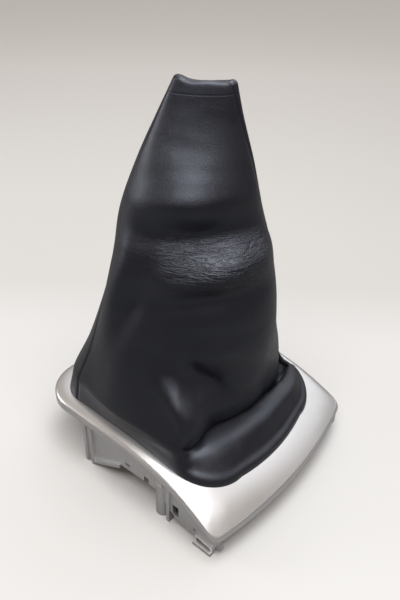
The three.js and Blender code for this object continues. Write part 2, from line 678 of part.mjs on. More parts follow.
// One smooth line of the boot from the opening to the top rim
function bootLine(station, base) {
  const reach = Math.hypot(station.x, station.y - BASE_CENTRE_Y);
  const pouch = smooth(-base, ...POUCH_RIGHT) * (1 - smooth(-base, ...POUCH_LEFT));
  const ridge = Math.min(between(RIDGE, 'angle', 'reach', base), reach - LEAST_POUCH);
  const ridgeZ = between(RIDGE, 'angle', 'z', base);
  const span = reach - ridge;
  const bodyReach = lerp(reach, ridge - CREASE_BEHIND - BODY_SETBACK, pouch);
  const foot = footPoint(station, -FLANGE_CLEARANCE, CLEARANCE);
  const low = levelPoint(LEVELS[0], base, bodyReach);
  const topZ = lerp(foot.z, ridgeZ, POUCH_TOP.rise);
  const ring = (radius, z) => new THREE.Vector3(
    radius * Math.cos(radians(base)), BASE_CENTRE_Y + radius * Math.sin(radians(base)), z);
  const rolled = [
    ...SHOULDERS.map(({ inset, lift, share }) => ring(
      reach - Math.min(inset, span * share), Math.min(foot.z + lift, topZ))),
    ring(reach - span * POUCH_TOP.share, topZ),
    ring(ridge + Math.min(RIDGE_ROUND, span * RIDGE_ROUND_SHARE), ridgeZ),
    ring(ridge, ridgeZ - RIDGE_FALL),
    ring(ridge - CREASE_BEHIND, ridgeZ - CREASE_BELOW),
  ];
  const keys = [foot];
  rolled.forEach((p, i) => {
    const plain = foot.clone().lerp(low, (i + 1) / (rolled.length + 1));
    keys.push(plain.lerp(p, pouch));
  });
  LEVELS.forEach((level) => keys.push(levelPoint(level, base, bodyReach)));
  const curve = new THREE.CatmullRomCurve3(keys, false, 'centripetal');
  const steps = (keys.length - 1) * ROWS_PER_LEVEL;
  const bodyStart = rolled.length * ROWS_PER_LEVEL;
  const line = [];
  for (let i = 0; i <= steps; i += 1) {
    line.push(pullIn(curve.getPoint(i / steps), station, pouch, i >= bodyStart));
  }
  return line;
}

// Outward directions of the boot's lines, one for each of their points
function lineNormals(lines, loop) {
  const rows = lines[0].length;
  return lines.map((line, k) => line.map((p, r) => {
    if (r === 0) {
      return new THREE.Vector3(loop[k].nx, loop[k].ny, 0);
    }
    const before = lines[(k + lines.length - 1) % lines.length];
    const along = lines[(k + 1) % lines.length][r].clone().sub(before[r]);
    const up = line[Math.min(r + 1, rows - 1)].clone().sub(line[r - 1]);
    return up.cross(along).normalize();
  }));
}

// Finished face and back face of the whole boot, one list of points for each station
function leatherFaces(loop, rightSeam, leftSeam) {
  const smoothLines = loop.map((station, k) => bootLine(station, baseAngle(station, k, loop.length)));
  const plain = lineNormals(smoothLines, loop);
  const lines = smoothLines.map((line, k) => {
    const fade = smooth(Math.min(k - rightSeam, leftSeam - k), 0, SEAM_FADE_STATIONS);
    return line.map((p, r) => p.clone().addScaledVector(plain[k][r], foldPush(p) * fade));
  });
  const normals = lineNormals(lines, loop);
  const foot = [
    [WRAP_END, FLAP_FACE, WRAP_END, FLAP_BACK],
    [WRAP_FACE, FLAP_FACE, WRAP_BACK, FLAP_BACK],
    [WRAP_FACE, TURN_FACE, WRAP_BACK, TURN_BACK],
    [-FLANGE_CLEARANCE, TURN_FACE, -FLANGE_CLEARANCE - LEATHER, TURN_BACK],
  ];
  return lines.map((line, k) => {
    const face = foot.map(([q, z]) => footPoint(loop[k], q, z)).concat(line);
    const back = foot.map((row) => footPoint(loop[k], row[2], row[3]));
    line.forEach((p, r) => {
      const hem = p.z > BOOT_TOP_Z - HEM ? 2 : 1;
      back.push(p.clone().addScaledVector(normals[k][r], -LEATHER * hem));
    });
    return { face, back };
  });
}

// A panel runs over the stations from one seam to the other, and stops half a gap short of each
function panel(faces, from, to) {
  const count = faces.length;
  const sections = [];
  for (let k = from; k <= to; k += 1) {
    const here = faces[k % count];
    const toward = k === from ? faces[(k + 1) % count] : faces[(k + count - 1) % count];
    const shift = k === from || k === to ? SEAM_GAP / 2 : 0;
    const move = (p, q) => p.clone().add(q.clone().sub(p).setLength(shift || 1e-9));
    const face = here.face.map((p, r) => (shift ? move(p, toward.face[r]) : p.clone()));
    const back = here.back.map((p, r) => (shift ? move(p, toward.back[r]) : p.clone()));
    sections.push(face.concat(back.reverse()));
  }
  return toSolid(sweep(sections, false));
}

// Seam allowance: the edge of a panel turned inwards, from above the foot to just under the rim
function allowance(faces, seam, step) {
  const count = faces.length;
  const here = faces[seam % count];
  const next = faces[(seam + step + count) % count];
  const first = FOOT_ROWS + ALLOWANCE_START_ROW;
  const sections = [];
  for (let r = first; r < here.face.length - 1; r += 1) {
    const along = next.face[r].clone().sub(here.face[r]).normalize();
    const inwards = here.back[r].clone().sub(here.face[r]).normalize();
    const at = (depth, width) => here.face[r].clone()
      .addScaledVector(along, SEAM_GAP + width).addScaledVector(inwards, depth);
    sections.push([
      at(LEATHER / 2, 0), at(SEAM_ALLOWANCE, 0), at(SEAM_ALLOWANCE, LEATHER), at(LEATHER / 2, LEATHER)]);
  }
  return toSolid(sweep(sections, false));
}

// Staples through the turned edge into the inner frame
function stapleEdges(count) {
  const [rearSteps, rearCornerSteps, sideSteps, frontCornerSteps] = LEATHER_STEPS;
  const sideStart = rearSteps + rearCornerSteps;
  const cornerStart = sideStart + sideSteps;
  const frontStart = cornerStart + frontCornerSteps;
  const half = [1, cornerStart + 2, frontStart, frontStart + 2];
  for (let k = sideStart + 1; k < cornerStart; k += 2) {
    half.push(k);
  }
  return half.concat(half.map((k) => count - 1 - k));
}

function stapleFrame(loop, k) {
  const [a, b] = [loop[k], loop[(k + 1) % loop.length]];
  const lift = FLAP_FACE - CLEARANCE - STAPLE_WIRE;
  const q = (FRAME_OUTER - FRAME_INNER) / 2;
  const [from, to] = [footPoint(a, q, lift), footPoint(b, q, lift)];
  const along = to.clone().sub(from).normalize();
  const flat = new THREE.Vector3(a.nx + b.nx, a.ny + b.ny, 0).normalize();
  const up = new THREE.Vector3().crossVectors(flat, along).normalize();
  if (up.z < 0) {
    up.negate();
  }
  const side = new THREE.Vector3().crossVectors(along, up);
  const middle = from.add(to).multiplyScalar(0.5);
  return new THREE.Matrix4().makeBasis(along, up, side).setPosition(middle);
}

function staple(frame) {
  const half = STAPLE_CROWN / 2;
  const inner = half - STAPLE_WIRE;
  const outline = [
    [-half, 0], [half, 0], [half, STAPLE_LEG], [inner, STAPLE_LEG], [inner, STAPLE_WIRE],
    [-inner, STAPLE_WIRE], [-inner, STAPLE_LEG], [-half, STAPLE_LEG]];
  const shape = new THREE.Shape(outline.map(([x, y]) => new THREE.Vector2(x, y)));
  const wire = new THREE.ExtrudeGeometry(shape, { depth: STAPLE_WIRE, bevelEnabled: false });
  wire.translate(0, 0, -STAPLE_WIRE / 2);
  wire.applyMatrix4(frame);
  return toSolid(wire);
}

function stapleSlots(frame) {
  const width = STAPLE_WIRE + 2 * STAPLE_SLOT;
  const height = STAPLE_LEG + STAPLE_SLOT - STAPLE_WIRE;
  const slots = [-1, 1].map((sign) => {
    const slot = new THREE.BoxGeometry(width, height, width);
    slot.translate(sign * (STAPLE_CROWN - STAPLE_WIRE) / 2, STAPLE_WIRE + height / 2, 0);
    slot.applyMatrix4(frame);
    return toSolid(slot);
  });
  return slots[0].add(slots[1]);
}

const meshes = new THREE.Group();
meshes.name = 'gear_lever_gaiter';
meshes.position.y = -(BEZEL_REAR_Y + TIP_Y - FRONT_BOW) / 2;

function addMesh(name, solid, material) {
  const mesh = new THREE.Mesh(toGeometry(solid), material);
  mesh.name = name;
  meshes.add(mesh);
}

const silver = new THREE.MeshStandardMaterial({ color: 0xb9babb, roughness: 0.38, metalness: 0.7 });
const leather = new THREE.MeshStandardMaterial({ color: 0x232327, roughness: 0.48, metalness: 0 });
const black = new THREE.MeshStandardMaterial({ color: 0x18181a, roughness: 0.6, metalness: 0 });
const steel = new THREE.MeshStandardMaterial({ color: 0xa9abad, roughness: 0.35, metalness: 1 });

const side = sideFeatures();
const cuts = sideCuts();
const walls = skirt().subtract(cuts).subtract(mirrorX(cuts));
addMesh('bezel', bezelRing().add(walls).add(side).add(mirrorX(side)), silver);

const loop = footLoop();
const [seamRear, seamCorner, seamSide] = LEATHER_STEPS;
const rightSeam = seamRear + seamCorner + seamSide;
const leftSeam = loop.length - seamRear - seamCorner;
const faces = leatherFaces(loop, rightSeam, leftSeam);
const frames = stapleEdges(loop.length).map((k) => stapleFrame(loop, k));
const slots = frames.map(stapleSlots).reduce((all, slot) => all.add(slot));
const front = panel(faces, rightSeam, leftSeam)
  .add(allowance(faces, rightSeam, 1)).add(allowance(faces, leftSeam, -1));
const rear = panel(faces, leftSeam, loop.length + rightSeam)
  .add(allowance(faces, leftSeam, 1)).add(allowance(faces, rightSeam, -1));
addMesh('front_panel', front.subtract(slots), leather);
addMesh('rear_panel', rear.subtract(slots), leather);
addMesh('inner_frame', innerFrame(loop).subtract(slots), black);
frames.forEach((frame, i) => addMesh(`staple_${i + 1}`, staple(frame), steel));

export default meshes;
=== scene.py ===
"""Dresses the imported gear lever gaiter: sewn leather boot, painted bezel, soft studio light."""

import math

import bmesh
import bpy
import numpy as np
from bpy.props import FloatProperty, FloatVectorProperty, PointerProperty
from mathutils import Matrix, Vector


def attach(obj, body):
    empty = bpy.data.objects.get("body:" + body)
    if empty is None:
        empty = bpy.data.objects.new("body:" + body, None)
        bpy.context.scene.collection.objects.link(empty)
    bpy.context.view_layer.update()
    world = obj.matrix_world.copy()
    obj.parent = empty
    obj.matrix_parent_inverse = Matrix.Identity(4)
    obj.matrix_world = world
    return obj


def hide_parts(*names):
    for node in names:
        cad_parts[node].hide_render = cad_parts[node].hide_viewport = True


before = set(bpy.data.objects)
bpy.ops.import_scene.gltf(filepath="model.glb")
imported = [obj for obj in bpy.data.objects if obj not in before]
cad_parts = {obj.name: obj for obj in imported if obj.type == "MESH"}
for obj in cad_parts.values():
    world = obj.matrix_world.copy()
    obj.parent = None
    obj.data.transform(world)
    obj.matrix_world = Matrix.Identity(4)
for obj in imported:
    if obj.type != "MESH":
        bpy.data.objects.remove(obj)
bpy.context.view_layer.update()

bl_info = {
    "name": "Gear Lever Gaiter",
    "version": (1, 0, 0),
    "blender": (4, 5, 0),
    "location": "View3D > Sidebar > Gaiter",
    "description": "Leather boot, painted bezel and studio for a gear lever gaiter",
    "category": "Object",
}

MM = 0.001
ROW_SHIFT_Y = -3.35

# Opening of the bezel, in millimetres, before the shift to the row frame
OPENING_HALF = 66.0
OPENING_REAR_Y = 77.0
OPENING_REAR_RADIUS = 20.0
OPENING_FRONT_Y = -61.0
OPENING_FRONT_RADIUS = 31.0
OPENING_BOW = 3.8
REAR_EDGE_Z = 43.4
TIP_Z = 18.6
TIP_Y = -73.1
DROP_START_Y = 19.7
DROP_POWER = 2.3
OPENING_Z = 45.4
OPENING_DROP_SHARE = 0.8

# Points on each corner and edge of the opening's outline, the share of its length at the rear
# middle, and the step along it that gives its direction
CORNER_STEPS = 120
EDGE_STEPS = 160
REAR_MIDDLE_SHARE = 0.75
DIRECTION_STEP = 1e-3

# How the leather's foot wraps round the inner frame, outwards and up from the opening's edge
FLANGE_CLEARANCE = 0.5
FOOT_PROFILE = ((-2.6, -10.6), (3.4, -10.6), (3.5, -5.5), (-0.5, -5.4), (-0.5, 0.3))

# The boot's open rim: how far it dips, and how far its two pinched corners stand up. The widths
# of the corners are shares of the rim's half length, and the powers keep both near the rim.
BOOT_TOP_Z = 256.0
RIM_DIP = 2.5
RIM_DIP_POWER = 3
MIDDLE_DIP = 0.8
LEFT_EAR = 2.8
LEFT_EAR_WIDTH = 0.32
RIGHT_EAR = 0.8
RIGHT_EAR_WIDTH = 0.2
EAR_POWER = 12

# Centre line of the boot, and the angles about it of the pinch and of the two seams, each seam
# at the foot and at the rim
BASE_CENTRE_Y = 6.0
PINCH_ANGLE = -51.6
RIGHT_SEAM = (-28.6, -66.0)
LEFT_SEAM = (-217.7, -231.0)
ACROSS = np.array([math.cos(math.radians(PINCH_ANGLE)), math.sin(math.radians(PINCH_ANGLE))])
TOWARDS = np.array([ACROSS[1], -ACROSS[0]])

# Horizontal ovals of the boot: reach to each side along the pinch, nearest and farthest reach
# across it, how square the oval is, and how far the opening's own outline still shows
LEVEL_KEYS = ("z", "left", "right", "near", "far", "power", "oval", "shrink")
LEVELS = [dict(zip(LEVEL_KEYS, row)) for row in (
    (62, -89, 52, 62, -74, 2.6, 0.3, 0.95),
    (85, -74, 49.5, 50, -62, 2.7, 0.6, 0.88),
    (110, -67, 46.5, 44, -52, 2.8, 0.85, 0.8),
    (135, -60.4, 43.6, 40, -44, 2.7, 0.97, 0.7),
    (160, -55, 38, 36, -38, 2.5, 1, 0.6),
    (185, -50.5, 30.5, 29, -31, 2.2, 1, 0.5),
    (215, -39.5, 23, 19, -20, 2.0, 1, 0.4),
    (240, -28, 15.5, 10, -10, 2.0, 1, 0.3),
    (BOOT_TOP_Z, -20, 11.6, 6, -6, 2.0, 1, 0.3),
)]

# Soft pouch along the front edge: angles where it starts and ends, angles where the body behind
# it swings out to the opening again, and its sharp upper edge, as angle, distance and height
POUCH_RIGHT = (28.8, 32.0)
POUCH_LEFT = (140.0, 147.0)
BODY_FOLD = ((123.0, 150.0), (135.0, 166.0), (150.0, 184.0))
RIDGE = (
    (-30.5, 76.3, 41.4),
    (-36.0, 70.5, 44.4),
    (-44.0, 65.1, 47.0),
    (-55.0, 57.7, 49.4),
    (-70.0, 50.1, 50.0),
    (-85.0, 47.1, 50.0),
    (-100.0, 45.4, 50.0),
    (-118.7, 46.2, 50.4),
    (-133.8, 50.5, 51.0),
    (-142.0, 60.4, 49.0),
    (-146.0, 68.0, 45.0),
)

# Section of the pouch: inset, lift and largest share of its width at each shoulder, then the
# shares of its width and height at the top
SHOULDERS = ((1.2, 3.2, 0.2), (5.0, 5.8, 0.4))
POUCH_TOP = (0.52, 0.92)

# Round of the pouch's upper edge, how far it stays inside the opening, and the crease behind it
RIDGE_ROUND = 3.0
RIDGE_ROUND_SHARE = 0.2
RIDGE_RISE = 0.3
RIDGE_FALL = 0.4
RIDGE_INSET = 0.8
CREASE_BEHIND = 2.6
CREASE_BELOW = 5.5
BODY_BEHIND = 1.0

# Where the lines without a pouch are held between the foot and the lowest oval
PLAIN_SHARES = (0.14, 0.28, 0.42, 0.56, 0.7, 0.84)

# How softly the boot is held to its right silhouette, the height above the opening over which
# that starts, the key of its lines from which it holds in the pouch too, and the silhouette
# itself, as height and reach along the pinch
LIMIT_SOFTNESS = 2.0
LIMIT_START = 7.0
LIMIT_KEY = 5.6
RIGHT_LIMIT = ((40, 54.5), (60, 55), (72, 53.5), (101, 48.5), (128, 44.7), (147, 42.4), (160, 40.4),
               (172, 37.3), (185, 33), (215, 25), (240, 17.5), (256, 13.5))

# Folds of the front panel: place along the pinch, height, half length, half width, lean in
# degrees and push, in or out
FRONT_FOLDS = (
    (-12, 205, 25, 17, 0, 5.6),
    (-12, 197, 26, 8, 3, 3.6),
    (-8, 182, 32, 8, 6, -3.4),
    (5, 161, 32, 9, 7, 6.0),
    (16, 168, 20, 6, 4, 1.6),
    (-2, 146, 30, 7, 10, -2.4),
    (8, 131, 22, 7, 8, 1.3),
    (6, 112, 16, 9, 6, 3.2),
    (5, 88, 16, 6, -48, -4.5),
    (-11, 77, 17, 7, -48, 8.0),
    (16, 92, 18, 8, 10, -1.6),
    (-54, 142, 32, 6, 71, 5.0),
    (-43, 136, 28, 7, 68, -4.0),
    (-52, 96, 24, 10, 70, 2.2),
    (-30, 120, 20, 9, -30, 1.2),
    (-20, 54, 14, 6, -20, 2.4),
)

# Share of a push that goes square to the pinch instead of along the normal, the rise of that
# way, and where the folds fade near the foot, the rim and the seams
FOLD_WAY = 0.75
FOLD_WAY_RISE = 0.25
FOLD_START_Z = 50.0
FOLD_FADE_IN = 15.0
FOLD_FADE_OUT = 25.0
SEAM_FADE = 0.035

# Grid of each panel: columns turned in at each seam edge, rows folded over at the rim
COLUMNS = 196
ROWS = 232
TURN_COLUMNS = 5
FIN_COLUMNS = 4
TURNED_COLUMNS = TURN_COLUMNS + FIN_COLUMNS
HEM_TURN_ROWS = 6
HEM_LAID_ROWS = 6
HEM_ROUND = 1.04
FINE_STEPS = 520

# Crinkled patch, in metres: heights where it fades in and out, and reach along and across the
# pinch where it fades, with what is left of it elsewhere
CRINKLE_FROM_Z = (0.150, 0.161)
CRINKLE_TO_Z = (0.174, 0.186)
CRINKLE_ALONG = (-0.028, -0.008)
CRINKLE_ACROSS = (0.0, -0.02)
CRINKLE_REST = 0.02
CRINKLE_REST_ALONG = 0.1

# Pressed line below the rim, in metres
HEM_LINE_Z = 0.2508
HEM_LINE_WIDTH = (0.0001, 0.0007)

# Colour of the dust on each material
LEATHER_DUST = (0.30, 0.28, 0.26)
PAINT_DUST = (0.45, 0.43, 0.40)
PLASTIC_DUST = (0.25, 0.24, 0.23)

# Vertices of the bezel closer than this are one, in metres
WELD_DISTANCE = 2e-5

# Camera of the photograph: place in metres, angles in degrees, lens in millimetres
CAMERA_PLACE = (-0.2416, -0.19015, 0.3319)
CAMERA_YAW = -51.6
CAMERA_PITCH = 34.7
CAMERA_ROLL = 1.8
CAMERA_LENS = 34.8

# Studio, in metres, degrees and shares: the way along which light is painted on the flat floor,
# where the floor takes its painted far tone, over which painted shade there fades to a brighter
# painted tone, how dark that painted shade is, how dark the floor is in reflections, where the room lights
# from behind, and how dim its front is low down
FLOOR_RADIUS = 30
PAINTED_LIGHT_ANGLE = 38.4
PAINTED_LIGHT_STARTS = (0.10, 0.22)
PAINTED_SHADE_FADES = (0.2, 1.1)
PAINTED_SHADE_DIM = 0.7
MIRRORED_FLOOR = 0.3
BACK_WAY = (0.80, 0.10, 0.45)
BACK_SPREAD = (0.5, 0.85)
BACK_RISE = (0.15, 0.4)
FRONT_RISE = (0.10, 0.38)
FRONT_LOW = 0.18


def smooth(x, low, high):
    """Smooth step from 0 at low to 1 at high."""
    t = np.clip((x - low) / (high - low), 0, 1)
    return t * t * (3 - 2 * t)


def opening_height(y):
    """Height of the opening's edge, which drops towards the front."""
    share = np.clip((DROP_START_Y - y) / (DROP_START_Y - TIP_Y), 0, 1)
    return OPENING_Z - OPENING_DROP_SHARE * (REAR_EDGE_Z - TIP_Z) * share**DROP_POWER


def opening_loop():
    """Points of the opening's edge from the right seam over the front, the left seam and the rear,
    and the share of the way round at which the left seam stands."""
    rear, front = OPENING_REAR_RADIUS, OPENING_FRONT_RADIUS
    top, bottom = OPENING_REAR_Y - rear, OPENING_FRONT_Y + front
    turn = np.radians(np.linspace(0, 90, CORNER_STEPS))
    straight = np.linspace(0, 1, EDGE_STEPS)[1:-1]
    inset = (OPENING_HALF - front) * np.linspace(1, -1, EDGE_STEPS)[1:-1]
    share = np.abs(inset) / (OPENING_HALF - front)
    parts = [
        (OPENING_HALF - front + front * np.cos(turn), bottom - front * np.sin(turn)),
        (inset, OPENING_FRONT_Y - OPENING_BOW * (1 - share**2)),
        (-OPENING_HALF + front - front * np.sin(turn), bottom - front * np.cos(turn)),
        (np.full_like(straight, -OPENING_HALF), bottom + (top - bottom) * straight),
        (-OPENING_HALF + rear - rear * np.cos(turn), top + rear * np.sin(turn)),
        ((OPENING_HALF - rear) * (2 * straight - 1), np.full_like(straight, OPENING_REAR_Y)),
        (OPENING_HALF - rear + rear * np.sin(turn), top + rear * np.cos(turn)),
        (np.full_like(straight, OPENING_HALF), top + (bottom - top) * straight),
    ]
    loop = np.concatenate([np.stack(part, 1) for part in parts])
    closed = np.vstack([loop, loop[:1]])
    length = np.concatenate([[0], np.cumsum(np.linalg.norm(np.diff(closed, axis=0), axis=1))])
    left = sum(len(part[0]) for part in parts[:4])
    return closed, length / length[-1], length[left] / length[-1]


def angle_at(base, share):
    """Angle of a line of the boot at a share of its height, turned with the two seams."""
    right = RIGHT_SEAM[0] + (RIGHT_SEAM[1] - RIGHT_SEAM[0]) * share
    left = LEFT_SEAM[0] + (LEFT_SEAM[1] - LEFT_SEAM[0]) * share
    t = (base - RIGHT_SEAM[0]) / (LEFT_SEAM[0] - RIGHT_SEAM[0])
    behind = np.where(base > RIGHT_SEAM[0], base - 360, base)
    u = (behind - LEFT_SEAM[0]) / (RIGHT_SEAM[0] - 360 - LEFT_SEAM[0])
    front = (base <= RIGHT_SEAM[0]) & (base >= LEFT_SEAM[0])
    return np.where(front, right + (left - right) * t, left + (right - 360 - left) * u)


def level_ring(level, base, reach):
    """One horizontal ring of the boot, between the opening's own outline and an oval."""
    share = (level["z"] - LEVELS[0]["z"]) / (BOOT_TOP_Z - LEVELS[0]["z"])
    turned = np.radians(angle_at(base, share))
    ray = np.stack([np.cos(turned), np.sin(turned)], -1)
    across, towards = ray @ ACROSS, ray @ TOWARDS
    half_across = (level["right"] - level["left"]) / 2
    half_deep = (level["near"] - level["far"]) / 2
    power = level["power"]
    wide, deep = np.abs(across / half_across)**power, np.abs(towards / half_deep)**power
    radius = (wide + deep)**(-1 / power)
    middle = (level["right"] + level["left"]) / 2 * ACROSS + (level["near"] + level["far"]) / 2 * TOWARDS
    oval = middle + ray * radius[:, None]
    square = ring(base, reach * level["shrink"], level["z"])[:, :2]
    flat = square + (oval - square) * level["oval"]
    place = (oval - middle) @ ACROSS / half_across
    ears = LEFT_EAR * np.exp(-((place + 1) / LEFT_EAR_WIDTH)**2)
    ears = ears + RIGHT_EAR * np.exp(-((place - 1) / RIGHT_EAR_WIDTH)**2)
    dip = RIM_DIP * share**RIM_DIP_POWER * (1 - towards) / 2
    return np.column_stack([flat, level["z"] - dip + (ears - MIDDLE_DIP) * share**EAR_POWER])


def ring(base, radius, z):
    """Points at the given angles, distances and heights about the boot's centre line."""
    turned = np.radians(base)
    x = radius * np.cos(turned)
    return np.column_stack([x, BASE_CENTRE_Y + radius * np.sin(turned), np.broadcast_to(z, x.shape)])


def through(keys, steps):
    """Points on centripetal curves through the keys, one curve for each line of the boot."""
    count = keys.shape[1]
    ends = np.concatenate([2 * keys[:, :1] - keys[:, 1:2], keys, 2 * keys[:, -1:] - keys[:, -2:-1]], 1)
    rows = []
    for t in np.linspace(0, 1, steps):
        section = min(int(t * (count - 1)), count - 2)
        w = t * (count - 1) - section
        p0, p1, p2, p3 = (ends[:, section + i] for i in range(4))
        gaps = [np.sqrt(np.linalg.norm(b - a, axis=1))[:, None] for a, b in ((p0, p1), (p1, p2), (p2, p3))]
        d0, d1, d2 = (np.maximum(gap, 1e-3) for gap in gaps)
        leave = ((p1 - p0) / d0 - (p2 - p0) / (d0 + d1) + (p2 - p1) / d1) * d1
        arrive = ((p2 - p1) / d1 - (p3 - p1) / (d1 + d2) + (p3 - p2) / d2) * d1
        rows.append(p1 + leave * w + (3 * (p2 - p1) - 2 * leave - arrive) * w**2
                    + (2 * (p1 - p2) + leave + arrive) * w**3)
    return np.stack(rows, 1)


def boot_lines(shares, steps):
    """Smooth lines of the boot from the opening's edge to the rim, before its folds."""
    loop, along, _ = opening_loop()

    def edge_at(places):
        return np.stack([np.interp(places % 1, along, loop[:, i]) for i in (0, 1)], 1)

    x, y = edge_at(shares).T
    way = edge_at(shares + DIRECTION_STEP) - edge_at(shares - DIRECTION_STEP)
    way /= np.linalg.norm(way, axis=1)[:, None]
    out = np.column_stack([-way[:, 1], way[:, 0]])
    base = np.degrees(np.arctan2(y - BASE_CENTRE_Y, x))
    past_left = (base > 90) & (shares % 1 < REAR_MIDDLE_SHARE)
    base = np.where(past_left, base - 360, base)
    reach = np.hypot(x, y - BASE_CENTRE_Y)
    starts = smooth(-base, *POUCH_RIGHT)
    pouch = starts * (1 - smooth(-base, *POUCH_LEFT))
    ridge_angle, ridge_reach, ridge_z = (np.array(column)[::-1] for column in zip(*RIDGE))
    ridge = np.minimum(np.interp(base, ridge_angle, ridge_reach), reach - RIDGE_INSET)
    ridge_z = np.interp(base, ridge_angle, ridge_z)
    behind_pouch = (ridge - CREASE_BEHIND - BODY_BEHIND - reach) * starts
    body = [reach + behind_pouch * (1 - smooth(-base, *left)) for left in BODY_FOLD]
    height = opening_height(y)
    foot = np.column_stack([x - out[:, 0] * FLANGE_CLEARANCE, y - out[:, 1] * FLANGE_CLEARANCE,
                            height + FOOT_PROFILE[-1][1]])
    low = level_ring(LEVELS[0], base, body[0])
    plain = [foot + (low - foot) * t for t in PLAIN_SHARES]
    width = reach - ridge
    top_z = foot[:, 2] + (ridge_z - foot[:, 2]) * POUCH_TOP[1]
    rolled = [ring(base, reach - np.minimum(inset, width * share), np.minimum(foot[:, 2] + lift, top_z))
              for inset, lift, share in SHOULDERS]
    rounding = np.minimum(RIDGE_ROUND, width * RIDGE_ROUND_SHARE)
    rolled += [ring(base, reach - width * POUCH_TOP[0], top_z),
               ring(base, ridge + rounding, ridge_z + RIDGE_RISE),
               ring(base, ridge, ridge_z - RIDGE_FALL),
               ring(base, ridge - CREASE_BEHIND, ridge_z - CREASE_BELOW)]
    keys = [foot] + [a + (b - a) * pouch[:, None] for a, b in zip(plain, rolled)]
    keys += [level_ring(level, base, body[min(i, 2)]) for i, level in enumerate(LEVELS)]
    lines = through(np.stack(keys, 1), steps)
    pull_in(lines, height, pouch)
    return lines, np.column_stack([x, y, height]), out


def pull_in(lines, height, pouch):
    """Keeps the boot behind its right silhouette, above the pouch and the opening's edge."""
    across = lines[..., :2] @ ACROSS
    limit = np.interp(lines[..., 2], *zip(*RIGHT_LIMIT))
    kept = limit - LIMIT_SOFTNESS * np.logaddexp(0, (limit - across) / LIMIT_SOFTNESS)
    above = smooth(lines[..., 2] - height[:, None], 0, LIMIT_START)
    last_key = len(PLAIN_SHARES) + len(LEVELS)
    past = np.arange(lines.shape[1]) / (lines.shape[1] - 1) > LIMIT_KEY / last_key
    weight = above * np.where(past[None, :], 1, 1 - pouch[:, None])
    move = (kept - across) * weight
    lines[..., :2] += move[..., None] * ACROSS


def resample(points, marks, axis, by_length=False):
    """Points along every line of a grid, at shares of the line or, by length, at distances."""
    lines = np.moveaxis(points, axis, 0)
    out = np.empty((marks.shape[0],) + lines.shape[1:])
    for k in range(lines.shape[1]):
        line = lines[:, k]
        length = np.concatenate([[0], np.cumsum(np.linalg.norm(np.diff(line, axis=0), axis=1))])
        wanted = marks[:, k] if by_length else marks[:, k] * length[-1]
        for i in range(3):
            out[:, k, i] = np.interp(wanted, length, line[:, i])
    return np.moveaxis(out, 0, axis)


def normals_of(grid):
    """Outward normals of a grid, one for each point."""
    along, up = np.gradient(grid, axis=0), np.gradient(grid, axis=1)
    normal = np.cross(up, along)
    return normal / np.maximum(np.linalg.norm(normal, axis=-1, keepdims=True), 1e-9)


def fold_push(grid, folds):
    """How far the folds push each point of a grid, faded out at the foot, the rim and the seams."""
    across = grid[..., :2] @ ACROSS
    push = np.zeros(across.shape)
    for place, height, wide, high, lean, amount in folds:
        a, b = across - place, grid[..., 2] - height
        c, s = math.cos(math.radians(lean)), math.sin(math.radians(lean))
        push += amount * np.exp(-((a * c + b * s) / wide)**2 - ((b * c - a * s) / high)**2)
    z = grid[..., 2]
    fade = smooth(z, FOLD_START_Z, FOLD_START_Z + FOLD_FADE_IN)
    fade = fade * smooth(-z, -BOOT_TOP_Z, -BOOT_TOP_Z + FOLD_FADE_OUT)
    columns = np.linspace(0, 1, grid.shape[0])
    seam = smooth(np.minimum(columns, 1 - columns), 0, SEAM_FADE)
    return push * fade * seam[:, None]


def seam_strips(edge, normal, way, sizes):
    """Columns from a seam edge inwards: a quarter turn, then the allowance behind the seam."""
    roll = sizes.seam_roll / MM
    strips = []
    for i in range(1, TURN_COLUMNS + 1):
        turn = math.pi / 2 * i / TURN_COLUMNS
        strips.append(edge + way * roll * math.sin(turn) - normal * roll * (1 - math.cos(turn)))
    for i in range(1, FIN_COLUMNS + 1):
        depth = roll + sizes.seam_allowance / MM * i / FIN_COLUMNS
        strips.append(edge + way * roll - normal * depth)
    return strips


def hem_strips(grid, normal, sizes):
    """Rows that fold the rim inwards over itself: a half turn, then the hem laid behind."""
    top = grid[:, -1]
    up = grid[:, -1] - grid[:, -2]
    up /= np.linalg.norm(up, axis=1)[:, None]
    half = sizes.thickness / MM * HEM_ROUND
    strips = []
    for i in range(1, HEM_TURN_ROWS + 1):
        turn = math.pi * i / HEM_TURN_ROWS
        strips.append(top + up * half * math.sin(turn) - normal * half * (1 - math.cos(turn)))
    turned = strips[-1]
    for i in range(1, HEM_LAID_ROWS + 1):
        strips.append(turned - up * sizes.hem / MM * i / HEM_LAID_ROWS)
    return strips


